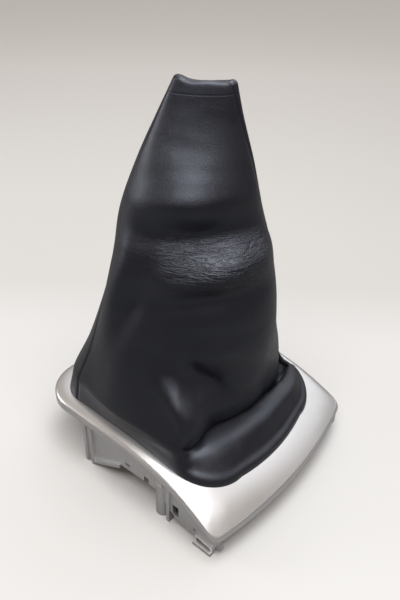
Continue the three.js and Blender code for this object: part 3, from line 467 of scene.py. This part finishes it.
def panel_grid(first, last, folds, sizes):
    """Finished face of one leather panel, seam edge to seam edge and under-flap to turned hem."""
    lines, edge, out = boot_lines(np.linspace(first, last, FINE_STEPS), FINE_STEPS)
    spread = np.linalg.norm(np.diff(lines, axis=0), axis=2).sum(0)
    inner = COLUMNS + 1 - 2 * TURNED_COLUMNS
    even = np.linspace(0, 1, inner)[:, None]
    border = sizes.seam_roll / MM + sizes.seam_gap / MM / 2
    body = resample(lines, border + even * (spread - 2 * border)[None, :], 0, by_length=True)

    # Foot: the leather wraps round the inner frame
    foot = [edge + np.column_stack([out * q, np.full(len(out), lift)]) for q, lift in FOOT_PROFILE]
    foot = [a + (b - a) * t for a, b in zip(foot, foot[1:]) for t in (0, 0.5)]
    foot = resample(np.stack(foot, 1), even.repeat(len(foot), 1), 0)
    rows = ROWS + 1 - HEM_TURN_ROWS - HEM_LAID_ROWS - foot.shape[1]
    body = resample(body, np.linspace(0, 1, rows)[:, None].repeat(inner, 1), 1)

    # Folds push along the normal and towards the side that is seen
    towards = np.array([*TOWARDS, FOLD_WAY_RISE])
    way = normals_of(body) * (1 - FOLD_WAY) + towards * FOLD_WAY
    body = np.concatenate([foot, body + way * fold_push(body, folds)[..., None]], 1)

    # Seam edges and hem
    normal = normals_of(body)
    sides = []
    for edge_index, next_index in ((0, 1), (-1, -2)):
        way = body[edge_index] - body[next_index]
        way /= np.linalg.norm(way, axis=1)[:, None]
        sides.append(np.stack(seam_strips(body[edge_index], normal[edge_index], way, sizes)))
    grid = np.concatenate([sides[0][::-1], body, sides[1]])
    rim_normal = np.concatenate([np.repeat(normal[:1, -1], TURNED_COLUMNS, 0), normal[:, -1],
                                 np.repeat(normal[-1:, -1], TURNED_COLUMNS, 0)])
    return np.concatenate([grid, np.stack(hem_strips(grid, rim_normal, sizes), 1)], 1)


def sheet_from(name, first, last, folds, sizes):
    """One leather panel as a piece, with its flat size and the area of its face."""
    grid = panel_grid(first, last, folds, sizes)
    columns, rows = grid.shape[0] - 1, grid.shape[1] - 1
    bm = bmesh.new()
    bmesh.ops.create_grid(bm, x_segments=columns, y_segments=rows, size=0.5, calc_uvs=True)
    flat = np.array([v.co[:2] for v in bm.verts]) + 0.5
    column = np.rint(flat[:, 0] * columns).astype(int)
    row = np.rint(flat[:, 1] * rows).astype(int)
    placed = grid[column, row] + (0, ROW_SHIFT_Y, 0)
    for vertex, point in zip(bm.verts, placed * MM):
        vertex.co = point
    side, rise = np.diff(grid, axis=0), np.diff(grid, axis=1)
    around = np.concatenate([np.zeros((1, rows + 1)), np.cumsum(np.linalg.norm(side, axis=2), 0)])
    around = (around - around[columns // 2]) * MM
    up = np.concatenate([np.zeros((columns + 1, 1)), np.cumsum(np.linalg.norm(rise, axis=2), 1)], 1)
    up *= MM
    longest = float(up[TURNED_COLUMNS:-TURNED_COLUMNS].max())
    up -= up[:, -1:]
    layer = bm.loops.layers.uv.verify()
    for face in bm.faces:
        for loop in face.loops:
            i, j = column[loop.vert.index], row[loop.vert.index]
            loop[layer].uv = (around[i, j], up[i, j])
        face.smooth = True
    mesh = bpy.data.meshes.new(name)
    bm.to_mesh(mesh)
    bm.free()
    piece = bpy.data.objects.new(name, mesh)
    bpy.context.scene.collection.objects.link(piece)
    shell = piece.modifiers.new("Thickness", "SOLIDIFY")
    shell.thickness = sizes.thickness
    shell.offset = -1
    area = float(np.linalg.norm(np.cross(side[:, :-1], rise[:-1]), axis=2).sum()) * MM**2
    return piece, (float(np.ptp(around)), longest), area


# Materials

def wire(tree, source, target):
    """Links one socket to another."""
    tree.links.new(source, target)


def math_node(tree, operation, first, second=None, third=None):
    """One sum on numbers or sockets."""
    made = tree.nodes.new("ShaderNodeMath")
    made.operation = operation
    for socket, value in zip(made.inputs, (first, second, third)):
        if value is None:
            continue
        if isinstance(value, (int, float)):
            socket.default_value = value
        else:
            wire(tree, value, socket)
    return made.outputs[0]


def noise(tree, vector, scale, detail=3.0, roughness=0.5, distortion=0.0):
    """Cloudy values about 0.5, at a scale that is a number or a socket."""
    made = tree.nodes.new("ShaderNodeTexNoise")
    if isinstance(scale, (int, float)):
        made.inputs["Scale"].default_value = scale
    else:
        wire(tree, scale, made.inputs["Scale"])
    made.inputs["Detail"].default_value = detail
    made.inputs["Roughness"].default_value = roughness
    made.inputs["Distortion"].default_value = distortion
    wire(tree, vector, made.inputs["Vector"])
    return made.outputs[0]


def span(tree, value, low, high, start=0.0, end=1.0, smooth_step=False):
    """Maps the range from low to high onto start to end, held at both."""
    made = tree.nodes.new("ShaderNodeMapRange")
    made.interpolation_type = "SMOOTHSTEP" if smooth_step else "LINEAR"
    for name, number in (("From Min", low), ("From Max", high), ("To Min", start), ("To Max", end)):
        made.inputs[name].default_value = number
    wire(tree, value, made.inputs["Value"])
    return made.outputs["Result"]


def mixed(tree, factor, first, second):
    """The first colour where the factor is 0, the second where it is 1."""
    made = tree.nodes.new("ShaderNodeMix")
    made.data_type = "RGBA"
    for label, value in (("Factor", factor), ("A", first), ("B", second)):
        socket = made.inputs[label]
        if isinstance(value, tuple):
            socket.default_value = (*value, 1)
        else:
            wire(tree, value, socket)
    return made.outputs["Result"]


def bumped(tree, height, distance, strength, below=None):
    """A normal bent by a height, over another normal if one is given."""
    made = tree.nodes.new("ShaderNodeBump")
    made.inputs["Distance"].default_value = distance
    made.inputs["Strength"].default_value = strength
    wire(tree, height, made.inputs["Height"])
    if below is not None:
        wire(tree, below, made.inputs["Normal"])
    return made.outputs["Normal"]


def object_place(tree, turn=0.0, scale=(1, 1, 1)):
    """Object coordinates, turned about the height and scaled."""
    place = tree.nodes.new("ShaderNodeTexCoord")
    mapping = tree.nodes.new("ShaderNodeMapping")
    mapping.inputs["Rotation"].default_value = (0, 0, turn)
    mapping.inputs["Scale"].default_value = scale
    wire(tree, place.outputs["Object"], mapping.inputs["Vector"])
    return mapping.outputs["Vector"]


def new_group(name, inputs, outputs):
    """A node group with its tree, and the sockets on its inner side."""
    tree = bpy.data.node_groups.new(name, "ShaderNodeTree")
    for label, kind, value in inputs:
        socket = tree.interface.new_socket(label, in_out="INPUT", socket_type=kind)
        if value is not None:
            socket.default_value = value
    for label in outputs:
        tree.interface.new_socket(label, in_out="OUTPUT", socket_type="NodeSocketFloat")
    return tree, tree.nodes.new("NodeGroupInput").outputs, tree.nodes.new("NodeGroupOutput").inputs


def grain_group():
    """Pebbled skin with pores between the pebbles, and a slow change of tone."""
    tree, given, results = new_group(
        "Skin grain", (("Vector", "NodeSocketVector", None), ("Cells per Metre", "NodeSocketFloat", 800.0),
                       ("Blotches per Metre", "NodeSocketFloat", 30.0)), ("Height", "Pores", "Tone"))
    cells = tree.nodes.new("ShaderNodeTexVoronoi")
    cells.feature = "DISTANCE_TO_EDGE"
    wire(tree, given["Vector"], cells.inputs["Vector"])
    wire(tree, given["Cells per Metre"], cells.inputs["Scale"])
    pebble = span(tree, cells.outputs["Distance"], 0.0, 0.16, smooth_step=True)
    fine = noise(tree, given["Vector"], math_node(tree, "MULTIPLY", given["Cells per Metre"], 2.3), 2.0)
    slow = noise(tree, given["Vector"], given["Blotches per Metre"], 4.0, 0.6)
    wire(tree, math_node(tree, "MULTIPLY_ADD", fine, 0.45, pebble), results["Height"])
    wire(tree, math_node(tree, "SUBTRACT", 1.0, pebble), results["Pores"])
    wire(tree, span(tree, slow, 0.3, 0.7), results["Tone"])
    return tree


def wear_group():
    """Rubbed edges: a broken mask that follows sharp outer edges."""
    tree, given, results = new_group(
        "Edge wear", (("Vector", "NodeSocketVector", None), ("Amount", "NodeSocketFloat", 0.5)), ("Mask",))
    shape = tree.nodes.new("ShaderNodeNewGeometry")
    edge = span(tree, shape.outputs["Pointiness"], 0.515, 0.6, smooth_step=True)
    broken = span(tree, noise(tree, given["Vector"], 260.0, 5.0, 0.7), 0.35, 0.65)
    wire(tree, math_node(tree, "MULTIPLY", math_node(tree, "MULTIPLY", edge, broken), given["Amount"]),
         results["Mask"])
    return tree


def dust_group():
    """Thin dust on what faces up, thicker in patches."""
    tree, given, results = new_group(
        "Light dust", (("Vector", "NodeSocketVector", None), ("Amount", "NodeSocketFloat", 0.2)), ("Mask",))
    shape = tree.nodes.new("ShaderNodeNewGeometry")
    parts = tree.nodes.new("ShaderNodeSeparateXYZ")
    wire(tree, shape.outputs["Normal"], parts.inputs[0])
    up = span(tree, parts.outputs["Z"], 0.2, 0.95, smooth_step=True)
    patches = span(tree, noise(tree, given["Vector"], 90.0, 6.0, 0.65), 0.35, 0.75)
    wire(tree, math_node(tree, "MULTIPLY", math_node(tree, "MULTIPLY", up, patches), given["Amount"]),
         results["Mask"])
    return tree


def shared(tree, maker_name, vector, **numbers):
    """A node that uses one of the shared groups, which is built the first time."""
    makers = {"Skin grain": grain_group, "Edge wear": wear_group, "Light dust": dust_group}
    made = tree.nodes.new("ShaderNodeGroup")
    made.node_tree = bpy.data.node_groups.get(maker_name) or makers[maker_name]()
    wire(tree, vector, made.inputs["Vector"])
    for name, number in numbers.items():
        made.inputs[name.replace("_", " ")].default_value = number
    return made.outputs


def new_material(name, roughness=0.5, metallic=0.0):
    """A material with one principled shader, and its tree and shader."""
    material = bpy.data.materials.new(name)
    material.use_nodes = True
    tree = material.node_tree
    tree.nodes.clear()
    shader = tree.nodes.new("ShaderNodeBsdfPrincipled")
    shader.inputs["Roughness"].default_value = roughness
    shader.inputs["Metallic"].default_value = metallic
    output = tree.nodes.new("ShaderNodeOutputMaterial")
    wire(tree, shader.outputs[0], output.inputs[0])
    return material, tree, shader


def scaled(color, factor):
    """A colour made lighter or darker."""
    return tuple(min(1.0, channel * factor) for channel in color)


def leather_material(look):
    material, tree, shader = new_material("Charcoal leather")
    laid = tree.nodes.new("ShaderNodeUVMap").outputs[0]
    grain = shared(tree, "Skin grain", laid, Cells_per_Metre=1300.0, Blotches_per_Metre=34.0)
    dust = shared(tree, "Light dust", object_place(tree), Amount=0.05)
    color = tuple(look.leather_color)
    toned = mixed(tree, grain["Tone"], scaled(color, 0.82), scaled(color, 1.2))
    pored = mixed(tree, math_node(tree, "MULTIPLY", grain["Pores"], 0.5), toned, scaled(color, 0.35))
    wire(tree, mixed(tree, dust["Mask"], pored, LEATHER_DUST), shader.inputs["Base Color"])
    rough = math_node(tree, "MULTIPLY_ADD", grain["Pores"], 0.14, look.leather_roughness)
    wire(tree, math_node(tree, "MULTIPLY_ADD", grain["Tone"], 0.06, rough), shader.inputs["Roughness"])
    shader.inputs["Coat Weight"].default_value = 0.1
    shader.inputs["Coat Roughness"].default_value = 0.28
    shader.inputs["Specular IOR Level"].default_value = 0.75
    shader.inputs["Specular Tint"].default_value = (0.76, 0.83, 1.0, 1)

    # Fine crinkles across the bend, a line at the hem, and slack ripples all over
    pinch = math.radians(-PINCH_ANGLE)
    stretched = object_place(tree, pinch, (34, 34, 190))

    def creases(scale):
        field = noise(tree, stretched, scale, 4.0, 0.6, 0.5)
        from_middle = math_node(tree, "ABSOLUTE", math_node(tree, "SUBTRACT", field, 0.5))
        return span(tree, from_middle, 0.0, 0.06, smooth_step=True)

    parts, turned = (tree.nodes.new("ShaderNodeSeparateXYZ") for _ in range(2))
    wire(tree, object_place(tree), parts.inputs[0])
    wire(tree, object_place(tree, pinch), turned.inputs[0])
    height = parts.outputs["Z"]
    crinkle = math_node(tree, "MULTIPLY_ADD", creases(2.1), 0.6, creases(1.0))
    for mask in (span(tree, turned.outputs["X"], *CRINKLE_ALONG, CRINKLE_REST_ALONG, 1.0, True),
                 span(tree, turned.outputs["Y"], *CRINKLE_ACROSS),
                 span(tree, height, *CRINKLE_FROM_Z, CRINKLE_REST, 1.0, True),
                 span(tree, height, *CRINKLE_TO_Z, 1.0, CRINKLE_REST, True)):
        crinkle = math_node(tree, "MULTIPLY", crinkle, mask)
    from_hem = math_node(tree, "ABSOLUTE", math_node(tree, "SUBTRACT", height, HEM_LINE_Z))
    hem_line = span(tree, from_hem, *HEM_LINE_WIDTH, smooth_step=True)
    ripple = noise(tree, object_place(tree, pinch, (18, 18, 34)), 1.0, 2.0, 0.5)
    normal = bumped(tree, ripple, 0.010, 0.22)
    normal = bumped(tree, crinkle, 0.0006, 0.5, normal)
    normal = bumped(tree, hem_line, 0.0003, 0.3, normal)
    normal = bumped(tree, grain["Height"], 0.00012, 0.35, normal)
    wire(tree, normal, shader.inputs["Normal"])
    return material


def paint_material(look):
    material, tree, shader = new_material("Silver paint", metallic=look.paint_metallic)
    place = object_place(tree)
    wear = shared(tree, "Edge wear", place, Amount=0.5)
    dust = shared(tree, "Light dust", place, Amount=0.10)
    color = tuple(look.paint_color)
    flakes = noise(tree, place, 5200.0, 1.0)
    toned = mixed(tree, span(tree, flakes, 0.3, 0.7), scaled(color, 0.93), scaled(color, 1.06))
    worn = mixed(tree, wear["Mask"], toned, scaled(color, 1.25))
    wire(tree, mixed(tree, dust["Mask"], worn, PAINT_DUST), shader.inputs["Base Color"])
    rough = math_node(tree, "MULTIPLY_ADD", dust["Mask"], 0.5, look.paint_roughness)
    blotches = span(tree, noise(tree, place, 40.0, 4.0), 0.3, 0.7, -0.02, 0.04)
    wire(tree, math_node(tree, "ADD", rough, blotches), shader.inputs["Roughness"])
    peel = noise(tree, place, 420.0, 2.0)
    normal = bumped(tree, peel, 0.00012, 0.25)
    wire(tree, bumped(tree, flakes, 0.00003, 0.2, normal), shader.inputs["Normal"])
    shader.inputs["Coat Weight"].default_value = 0.15
    shader.inputs["Coat Roughness"].default_value = 0.2
    return material


def plastic_material(look):
    material, tree, shader = new_material("Black plastic")
    place = object_place(tree)
    wear = shared(tree, "Edge wear", place, Amount=0.6)
    dust = shared(tree, "Light dust", place, Amount=0.12)
    grain = shared(tree, "Skin grain", place, Cells_per_Metre=1500.0, Blotches_per_Metre=50.0)
    color = tuple(look.plastic_color)
    worn = mixed(tree, wear["Mask"], color, scaled(color, 3.0))
    wire(tree, mixed(tree, dust["Mask"], worn, PLASTIC_DUST), shader.inputs["Base Color"])
    wire(tree, math_node(tree, "MULTIPLY_ADD", grain["Tone"], 0.12, 0.48), shader.inputs["Roughness"])
    wire(tree, bumped(tree, grain["Height"], 0.0001, 0.3), shader.inputs["Normal"])
    return material


def wire_material(look):
    material, tree, shader = new_material("Staple wire", metallic=1.0)
    place = object_place(tree)
    wear = shared(tree, "Edge wear", place, Amount=0.7)
    drawn = noise(tree, object_place(tree, 0.0, (2400, 2400, 500)), 1.0, 2.0)
    color = tuple(look.wire_color)
    toned = mixed(tree, span(tree, drawn, 0.3, 0.7), scaled(color, 0.8), scaled(color, 1.1))
    wire(tree, mixed(tree, wear["Mask"], toned, scaled(color, 1.4)), shader.inputs["Base Color"])
    wire(tree, span(tree, drawn, 0.2, 0.8, 0.26, 0.4), shader.inputs["Roughness"])
    wire(tree, bumped(tree, drawn, 0.00003, 0.3), shader.inputs["Normal"])
    return material


def paper_material(color, far_painted_light_color):
    """Pale paper on a flat floor, with light painted farther behind the part: a painted shade where a paper
    sweep would start, then a brighter painted tone beyond it in place of a lit sweep, and darker in
    reflections.
    """
    material, tree, shader = new_material("Paper floor", roughness=0.9)
    place = object_place(tree)
    fibre = noise(tree, place, 700.0, 3.0)
    parts = tree.nodes.new("ShaderNodeSeparateXYZ")
    wire(tree, object_place(tree, math.radians(-PAINTED_LIGHT_ANGLE)), parts.inputs[0])
    # Painted light: behind the part the flat floor takes a painted shade that fades to a brighter painted
    # tone, standing in for how a paper sweep would be lit
    behind = span(tree, parts.outputs["X"], *PAINTED_LIGHT_STARTS, smooth_step=True)
    painted_shade_fading = span(tree, parts.outputs["X"], *PAINTED_SHADE_FADES)
    painted_sweep_light = mixed(tree, painted_shade_fading, scaled(far_painted_light_color, PAINTED_SHADE_DIM), far_painted_light_color)
    paper = mixed(tree, behind, color, painted_sweep_light)
    path = tree.nodes.new("ShaderNodeLightPath")
    paper = mixed(tree, path.outputs["Is Glossy Ray"], paper, scaled(color, MIRRORED_FLOOR))
    wire(tree, paper, shader.inputs["Base Color"])
    wire(tree, bumped(tree, fibre, 0.0001, 0.15), shader.inputs["Normal"])
    return material


def give(name, material):
    """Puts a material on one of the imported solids."""
    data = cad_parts[name].data
    data.materials.clear()
    data.materials.append(material)


class BootSizes(bpy.types.PropertyGroup):
    """Sizes of the leather boot."""
    thickness: FloatProperty(name="Leather Thickness", description="Thickness of the leather",
                             default=0.0012, unit="LENGTH")
    seam_roll: FloatProperty(name="Seam Roll", description="Radius at which each panel turns into its seam",
                             default=0.0020, unit="LENGTH")
    seam_gap: FloatProperty(name="Seam Gap", description="Gap between the two panels in a seam",
                            default=0.0002, unit="LENGTH")
    seam_allowance: FloatProperty(name="Seam Allowance", description="Leather turned in behind a seam",
                                  default=0.004, unit="LENGTH")
    hem: FloatProperty(name="Hem", description="Leather turned in under the top rim",
                       default=0.008, unit="LENGTH")


class GaiterLooks(bpy.types.PropertyGroup):
    """Colours and finishes."""
    leather_color: FloatVectorProperty(name="Leather", description="Dyed leather", subtype="COLOR",
                                       default=(0.0055, 0.0057, 0.0095))
    leather_roughness: FloatProperty(name="Leather Roughness", description="Roughness of the finish",
                                     default=0.29, subtype="FACTOR")
    paint_color: FloatVectorProperty(name="Silver Paint", description="Painted bezel", subtype="COLOR",
                                     default=(0.66, 0.66, 0.67))
    paint_roughness: FloatProperty(name="Paint Roughness", description="Roughness of the paint",
                                   default=0.30, subtype="FACTOR")
    paint_metallic: FloatProperty(name="Paint Flake", description="How much the paint reflects as metal",
                                  default=0.8, subtype="FACTOR")
    plastic_color: FloatVectorProperty(name="Black Plastic", description="Inner frame", subtype="COLOR",
                                       default=(0.014, 0.014, 0.015))
    wire_color: FloatVectorProperty(name="Wire", description="Staples", subtype="COLOR",
                                    default=(0.45, 0.46, 0.47))
    sharp_angle: FloatProperty(name="Sharp Angle", description="Bezel edges above this angle stay sharp",
                               default=math.radians(27), subtype="ANGLE")


class StudioSizes(bpy.types.PropertyGroup):
    """Studio around the gaiter."""
    floor_color: FloatVectorProperty(name="Floor", description="Paper floor", subtype="COLOR",
                                     default=(0.63, 0.63, 0.627))
    # Far Floor is painted light: a brighter tone on the flat floor behind the part, in place of a lit paper
    # sweep
    far_painted_light_color: FloatVectorProperty(name="Far Floor", description="Paper that sweeps up behind",
                                   subtype="COLOR", default=(0.82, 0.817, 0.805))
    key_power: FloatProperty(name="Key Power", description="Power of the soft box above the camera",
                             default=7.6)
    key_size: FloatVectorProperty(name="Key Size", description="Width and depth of the soft box", size=2,
                                  default=(1.2, 0.5), unit="LENGTH")
    top_power: FloatProperty(name="Top Power", description="Power of the panel overhead", default=4.0)
    side_power: FloatProperty(name="Side Power", description="Power of the panel at the left", default=2.0)
    back_color: FloatVectorProperty(name="Back Light", description="Bright wall behind", subtype="COLOR",
                                    default=(1.3, 1.31, 1.33))
    front_color: FloatVectorProperty(name="Front Light", description="Dim warm room in front",
                                     subtype="COLOR", default=(0.38, 0.32, 0.27))
    wall_color: FloatVectorProperty(name="Backdrop", description="Pale backdrop behind the floor",
                                    subtype="COLOR", default=(0.70, 0.695, 0.68))


class GAITER_OT_camera(bpy.types.Operator):
    """Set the camera at the photograph's view."""
    bl_idname = "gaiter.camera"
    bl_label = "Gaiter Camera"

    def execute(self, context):
        yaw, pitch, roll = map(math.radians, (CAMERA_YAW, CAMERA_PITCH, CAMERA_ROLL))
        ahead = Vector((-math.sin(yaw), math.cos(yaw), 0))
        level = Vector((math.cos(yaw), math.sin(yaw), 0))
        up = Vector((0, 0, 1))
        look = ahead * math.cos(pitch) - up * math.sin(pitch)
        above = ahead * math.sin(pitch) + up * math.cos(pitch)
        right = level * math.cos(roll) + above * math.sin(roll)
        above = above * math.cos(roll) - level * math.sin(roll)
        data = bpy.data.cameras.new("Camera")
        data.sensor_width = 36
        data.lens = CAMERA_LENS
        data.clip_start = 0.01
        camera = bpy.data.objects.new("Camera", data)
        context.scene.collection.objects.link(camera)
        turned = Matrix((right, above, -look)).transposed()
        camera.matrix_world = Matrix.Translation(CAMERA_PLACE) @ turned.to_4x4()
        context.scene.camera = camera
        return {"FINISHED"}


def lamp(name, place, target, size, power):
    """A soft round panel of light that faces its target and isn't seen itself."""
    data = bpy.data.lights.new(name, "AREA")
    data.shape = "ELLIPSE"
    data.size, data.size_y = size
    data.energy = power
    made = bpy.data.objects.new(name, data)
    made.location = place
    way = Vector(target) - Vector(place)
    made.rotation_euler = way.to_track_quat("-Z", "Y").to_euler()
    made.visible_camera = False
    bpy.context.scene.collection.objects.link(made)


def studio_world(studio):
    """Dim warm room in front, bright wall high up behind, and the backdrop that the camera sees."""
    world = bpy.data.worlds.new("Studio world")
    world.use_nodes = True
    tree = world.node_tree
    way = tree.nodes.new("ShaderNodeTexCoord").outputs["Generated"]
    back = tree.nodes.new("ShaderNodeVectorMath")
    back.operation = "DOT_PRODUCT"
    back.inputs[1].default_value = BACK_WAY
    wire(tree, way, back.inputs[0])
    parts = tree.nodes.new("ShaderNodeSeparateXYZ")
    wire(tree, way, parts.inputs[0])
    height = parts.outputs["Z"]
    color = tuple(studio.front_color)
    front = mixed(tree, span(tree, height, *FRONT_RISE), scaled(color, FRONT_LOW), color)
    behind = span(tree, back.outputs["Value"], *BACK_SPREAD)
    high = math_node(tree, "MULTIPLY", behind, span(tree, height, *BACK_RISE))
    room = mixed(tree, high, front, tuple(studio.back_color))
    path = tree.nodes.new("ShaderNodeLightPath")
    seen = mixed(tree, path.outputs["Is Camera Ray"], room, tuple(studio.wall_color))
    background = tree.nodes["Background"]
    wire(tree, seen, background.inputs[0])
    background.inputs[1].default_value = 1.0
    return world


class GAITER_OT_studio(bpy.types.Operator):
    """Lay a pale floor and hang soft lamps."""
    bl_idname = "gaiter.studio"
    bl_label = "Gaiter Studio"

    def execute(self, context):
        studio = context.scene.gaiter_studio
        bm = bmesh.new()
        bmesh.ops.create_circle(bm, cap_ends=True, segments=96, radius=FLOOR_RADIUS)
        mesh = bpy.data.meshes.new("studio_floor")
        bm.to_mesh(mesh)
        bm.free()
        floor = bpy.data.objects.new("studio_floor", mesh)
        context.scene.collection.objects.link(floor)
        # The floor's far tone is painted light
        mesh.materials.append(paper_material(tuple(studio.floor_color), tuple(studio.far_painted_light_color)))
        lamp("Soft box", (-0.28, -0.26, 0.98), (0, 0, 0.12), studio.key_size, studio.key_power)
        lamp("Top panel", (0.10, -0.05, 1.15), (0, 0, 0.1), (0.5, 0.5), studio.top_power)
        lamp("Left panel", (-0.46, 0.85, 0.42), (0, 0, 0.12), (0.45, 0.45), studio.side_power)
        context.scene.world = studio_world(studio)
        context.scene.view_settings.view_transform = "Standard"
        return {"FINISHED"}


class GAITER_OT_leather(bpy.types.Operator):
    """Cut and sew the two leather panels."""
    bl_idname = "gaiter.leather"
    bl_label = "Leather Panels"

    def execute(self, context):
        sizes = context.scene.gaiter_boot
        leather = leather_material(context.scene.gaiter_looks)
        _, _, left = opening_loop()
        for name, node_name, first, last, folds in (
                ("front_leather", "front_panel", 0.0, left, FRONT_FOLDS),
                ("rear_leather", "rear_panel", left, 1.0, ())):
            piece, flat, area = sheet_from(name, first, last, folds, sizes)
            piece.data.materials.append(leather)
            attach(piece, "root")
            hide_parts(node_name)
        return {"FINISHED"}


class GAITER_OT_bezel(bpy.types.Operator):
    """Lay a smooth painted skin over the bezel, with its sharp edges kept."""
    bl_idname = "gaiter.bezel"
    bl_label = "Painted Bezel"

    def execute(self, context):
        looks = context.scene.gaiter_looks
        bm = bmesh.new()
        bm.from_mesh(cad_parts["bezel"].data)
        bmesh.ops.remove_doubles(bm, verts=bm.verts, dist=WELD_DISTANCE)
        for face in bm.faces:
            face.smooth = True
        for edge in bm.edges:
            edge.smooth = edge.is_manifold and edge.calc_face_angle(0.0) < looks.sharp_angle
        mesh = bpy.data.meshes.new("painted_bezel")
        bm.to_mesh(mesh)
        bm.free()
        piece = bpy.data.objects.new("painted_bezel", mesh)
        context.scene.collection.objects.link(piece)
        mesh.materials.append(paint_material(looks))
        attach(piece, "root")
        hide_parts("bezel")
        return {"FINISHED"}


class GAITER_OT_fittings(bpy.types.Operator):
    """Finish the inner frame and its staples."""
    bl_idname = "gaiter.fittings"
    bl_label = "Frame and Staples"

    def execute(self, context):
        looks = context.scene.gaiter_looks
        give("inner_frame", plastic_material(looks))
        steel = wire_material(looks)
        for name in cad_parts:
            if name.startswith("staple_"):
                give(name, steel)
        return {"FINISHED"}


class GAITER_PT_panel(bpy.types.Panel):
    """Lists the sizes and the operators."""
    bl_idname = "GAITER_PT_panel"
    bl_label = "Gear Lever Gaiter"
    bl_space_type = "VIEW_3D"
    bl_region_type = "UI"
    bl_category = "Gaiter"

    def draw(self, context):
        for name in GROUPS:
            group = getattr(context.scene, name)
            box = self.layout.box()
            for key in group.bl_rna.properties.keys():
                if key not in ("rna_type", "name"):
                    box.prop(group, key)
        for kind in OPERATORS:
            self.layout.operator(kind.bl_idname)


GROUPS = {"gaiter_boot": BootSizes, "gaiter_looks": GaiterLooks, "gaiter_studio": StudioSizes}
OPERATORS = (GAITER_OT_camera, GAITER_OT_studio, GAITER_OT_leather, GAITER_OT_bezel, GAITER_OT_fittings)


def register():
    for kind in (*GROUPS.values(), *OPERATORS, GAITER_PT_panel):
        bpy.utils.register_class(kind)
    for name, kind in GROUPS.items():
        setattr(bpy.types.Scene, name, PointerProperty(type=kind))


def unregister():
    for name in GROUPS:
        delattr(bpy.types.Scene, name)
    for kind in reversed((*GROUPS.values(), *OPERATORS, GAITER_PT_panel)):
        bpy.utils.unregister_class(kind)


def main():
    register()
    bpy.ops.gaiter.camera()
    bpy.ops.gaiter.studio()
    bpy.ops.gaiter.leather()
    bpy.ops.gaiter.bezel()
    bpy.ops.gaiter.fittings()


if __name__ == "__main__":
    main()
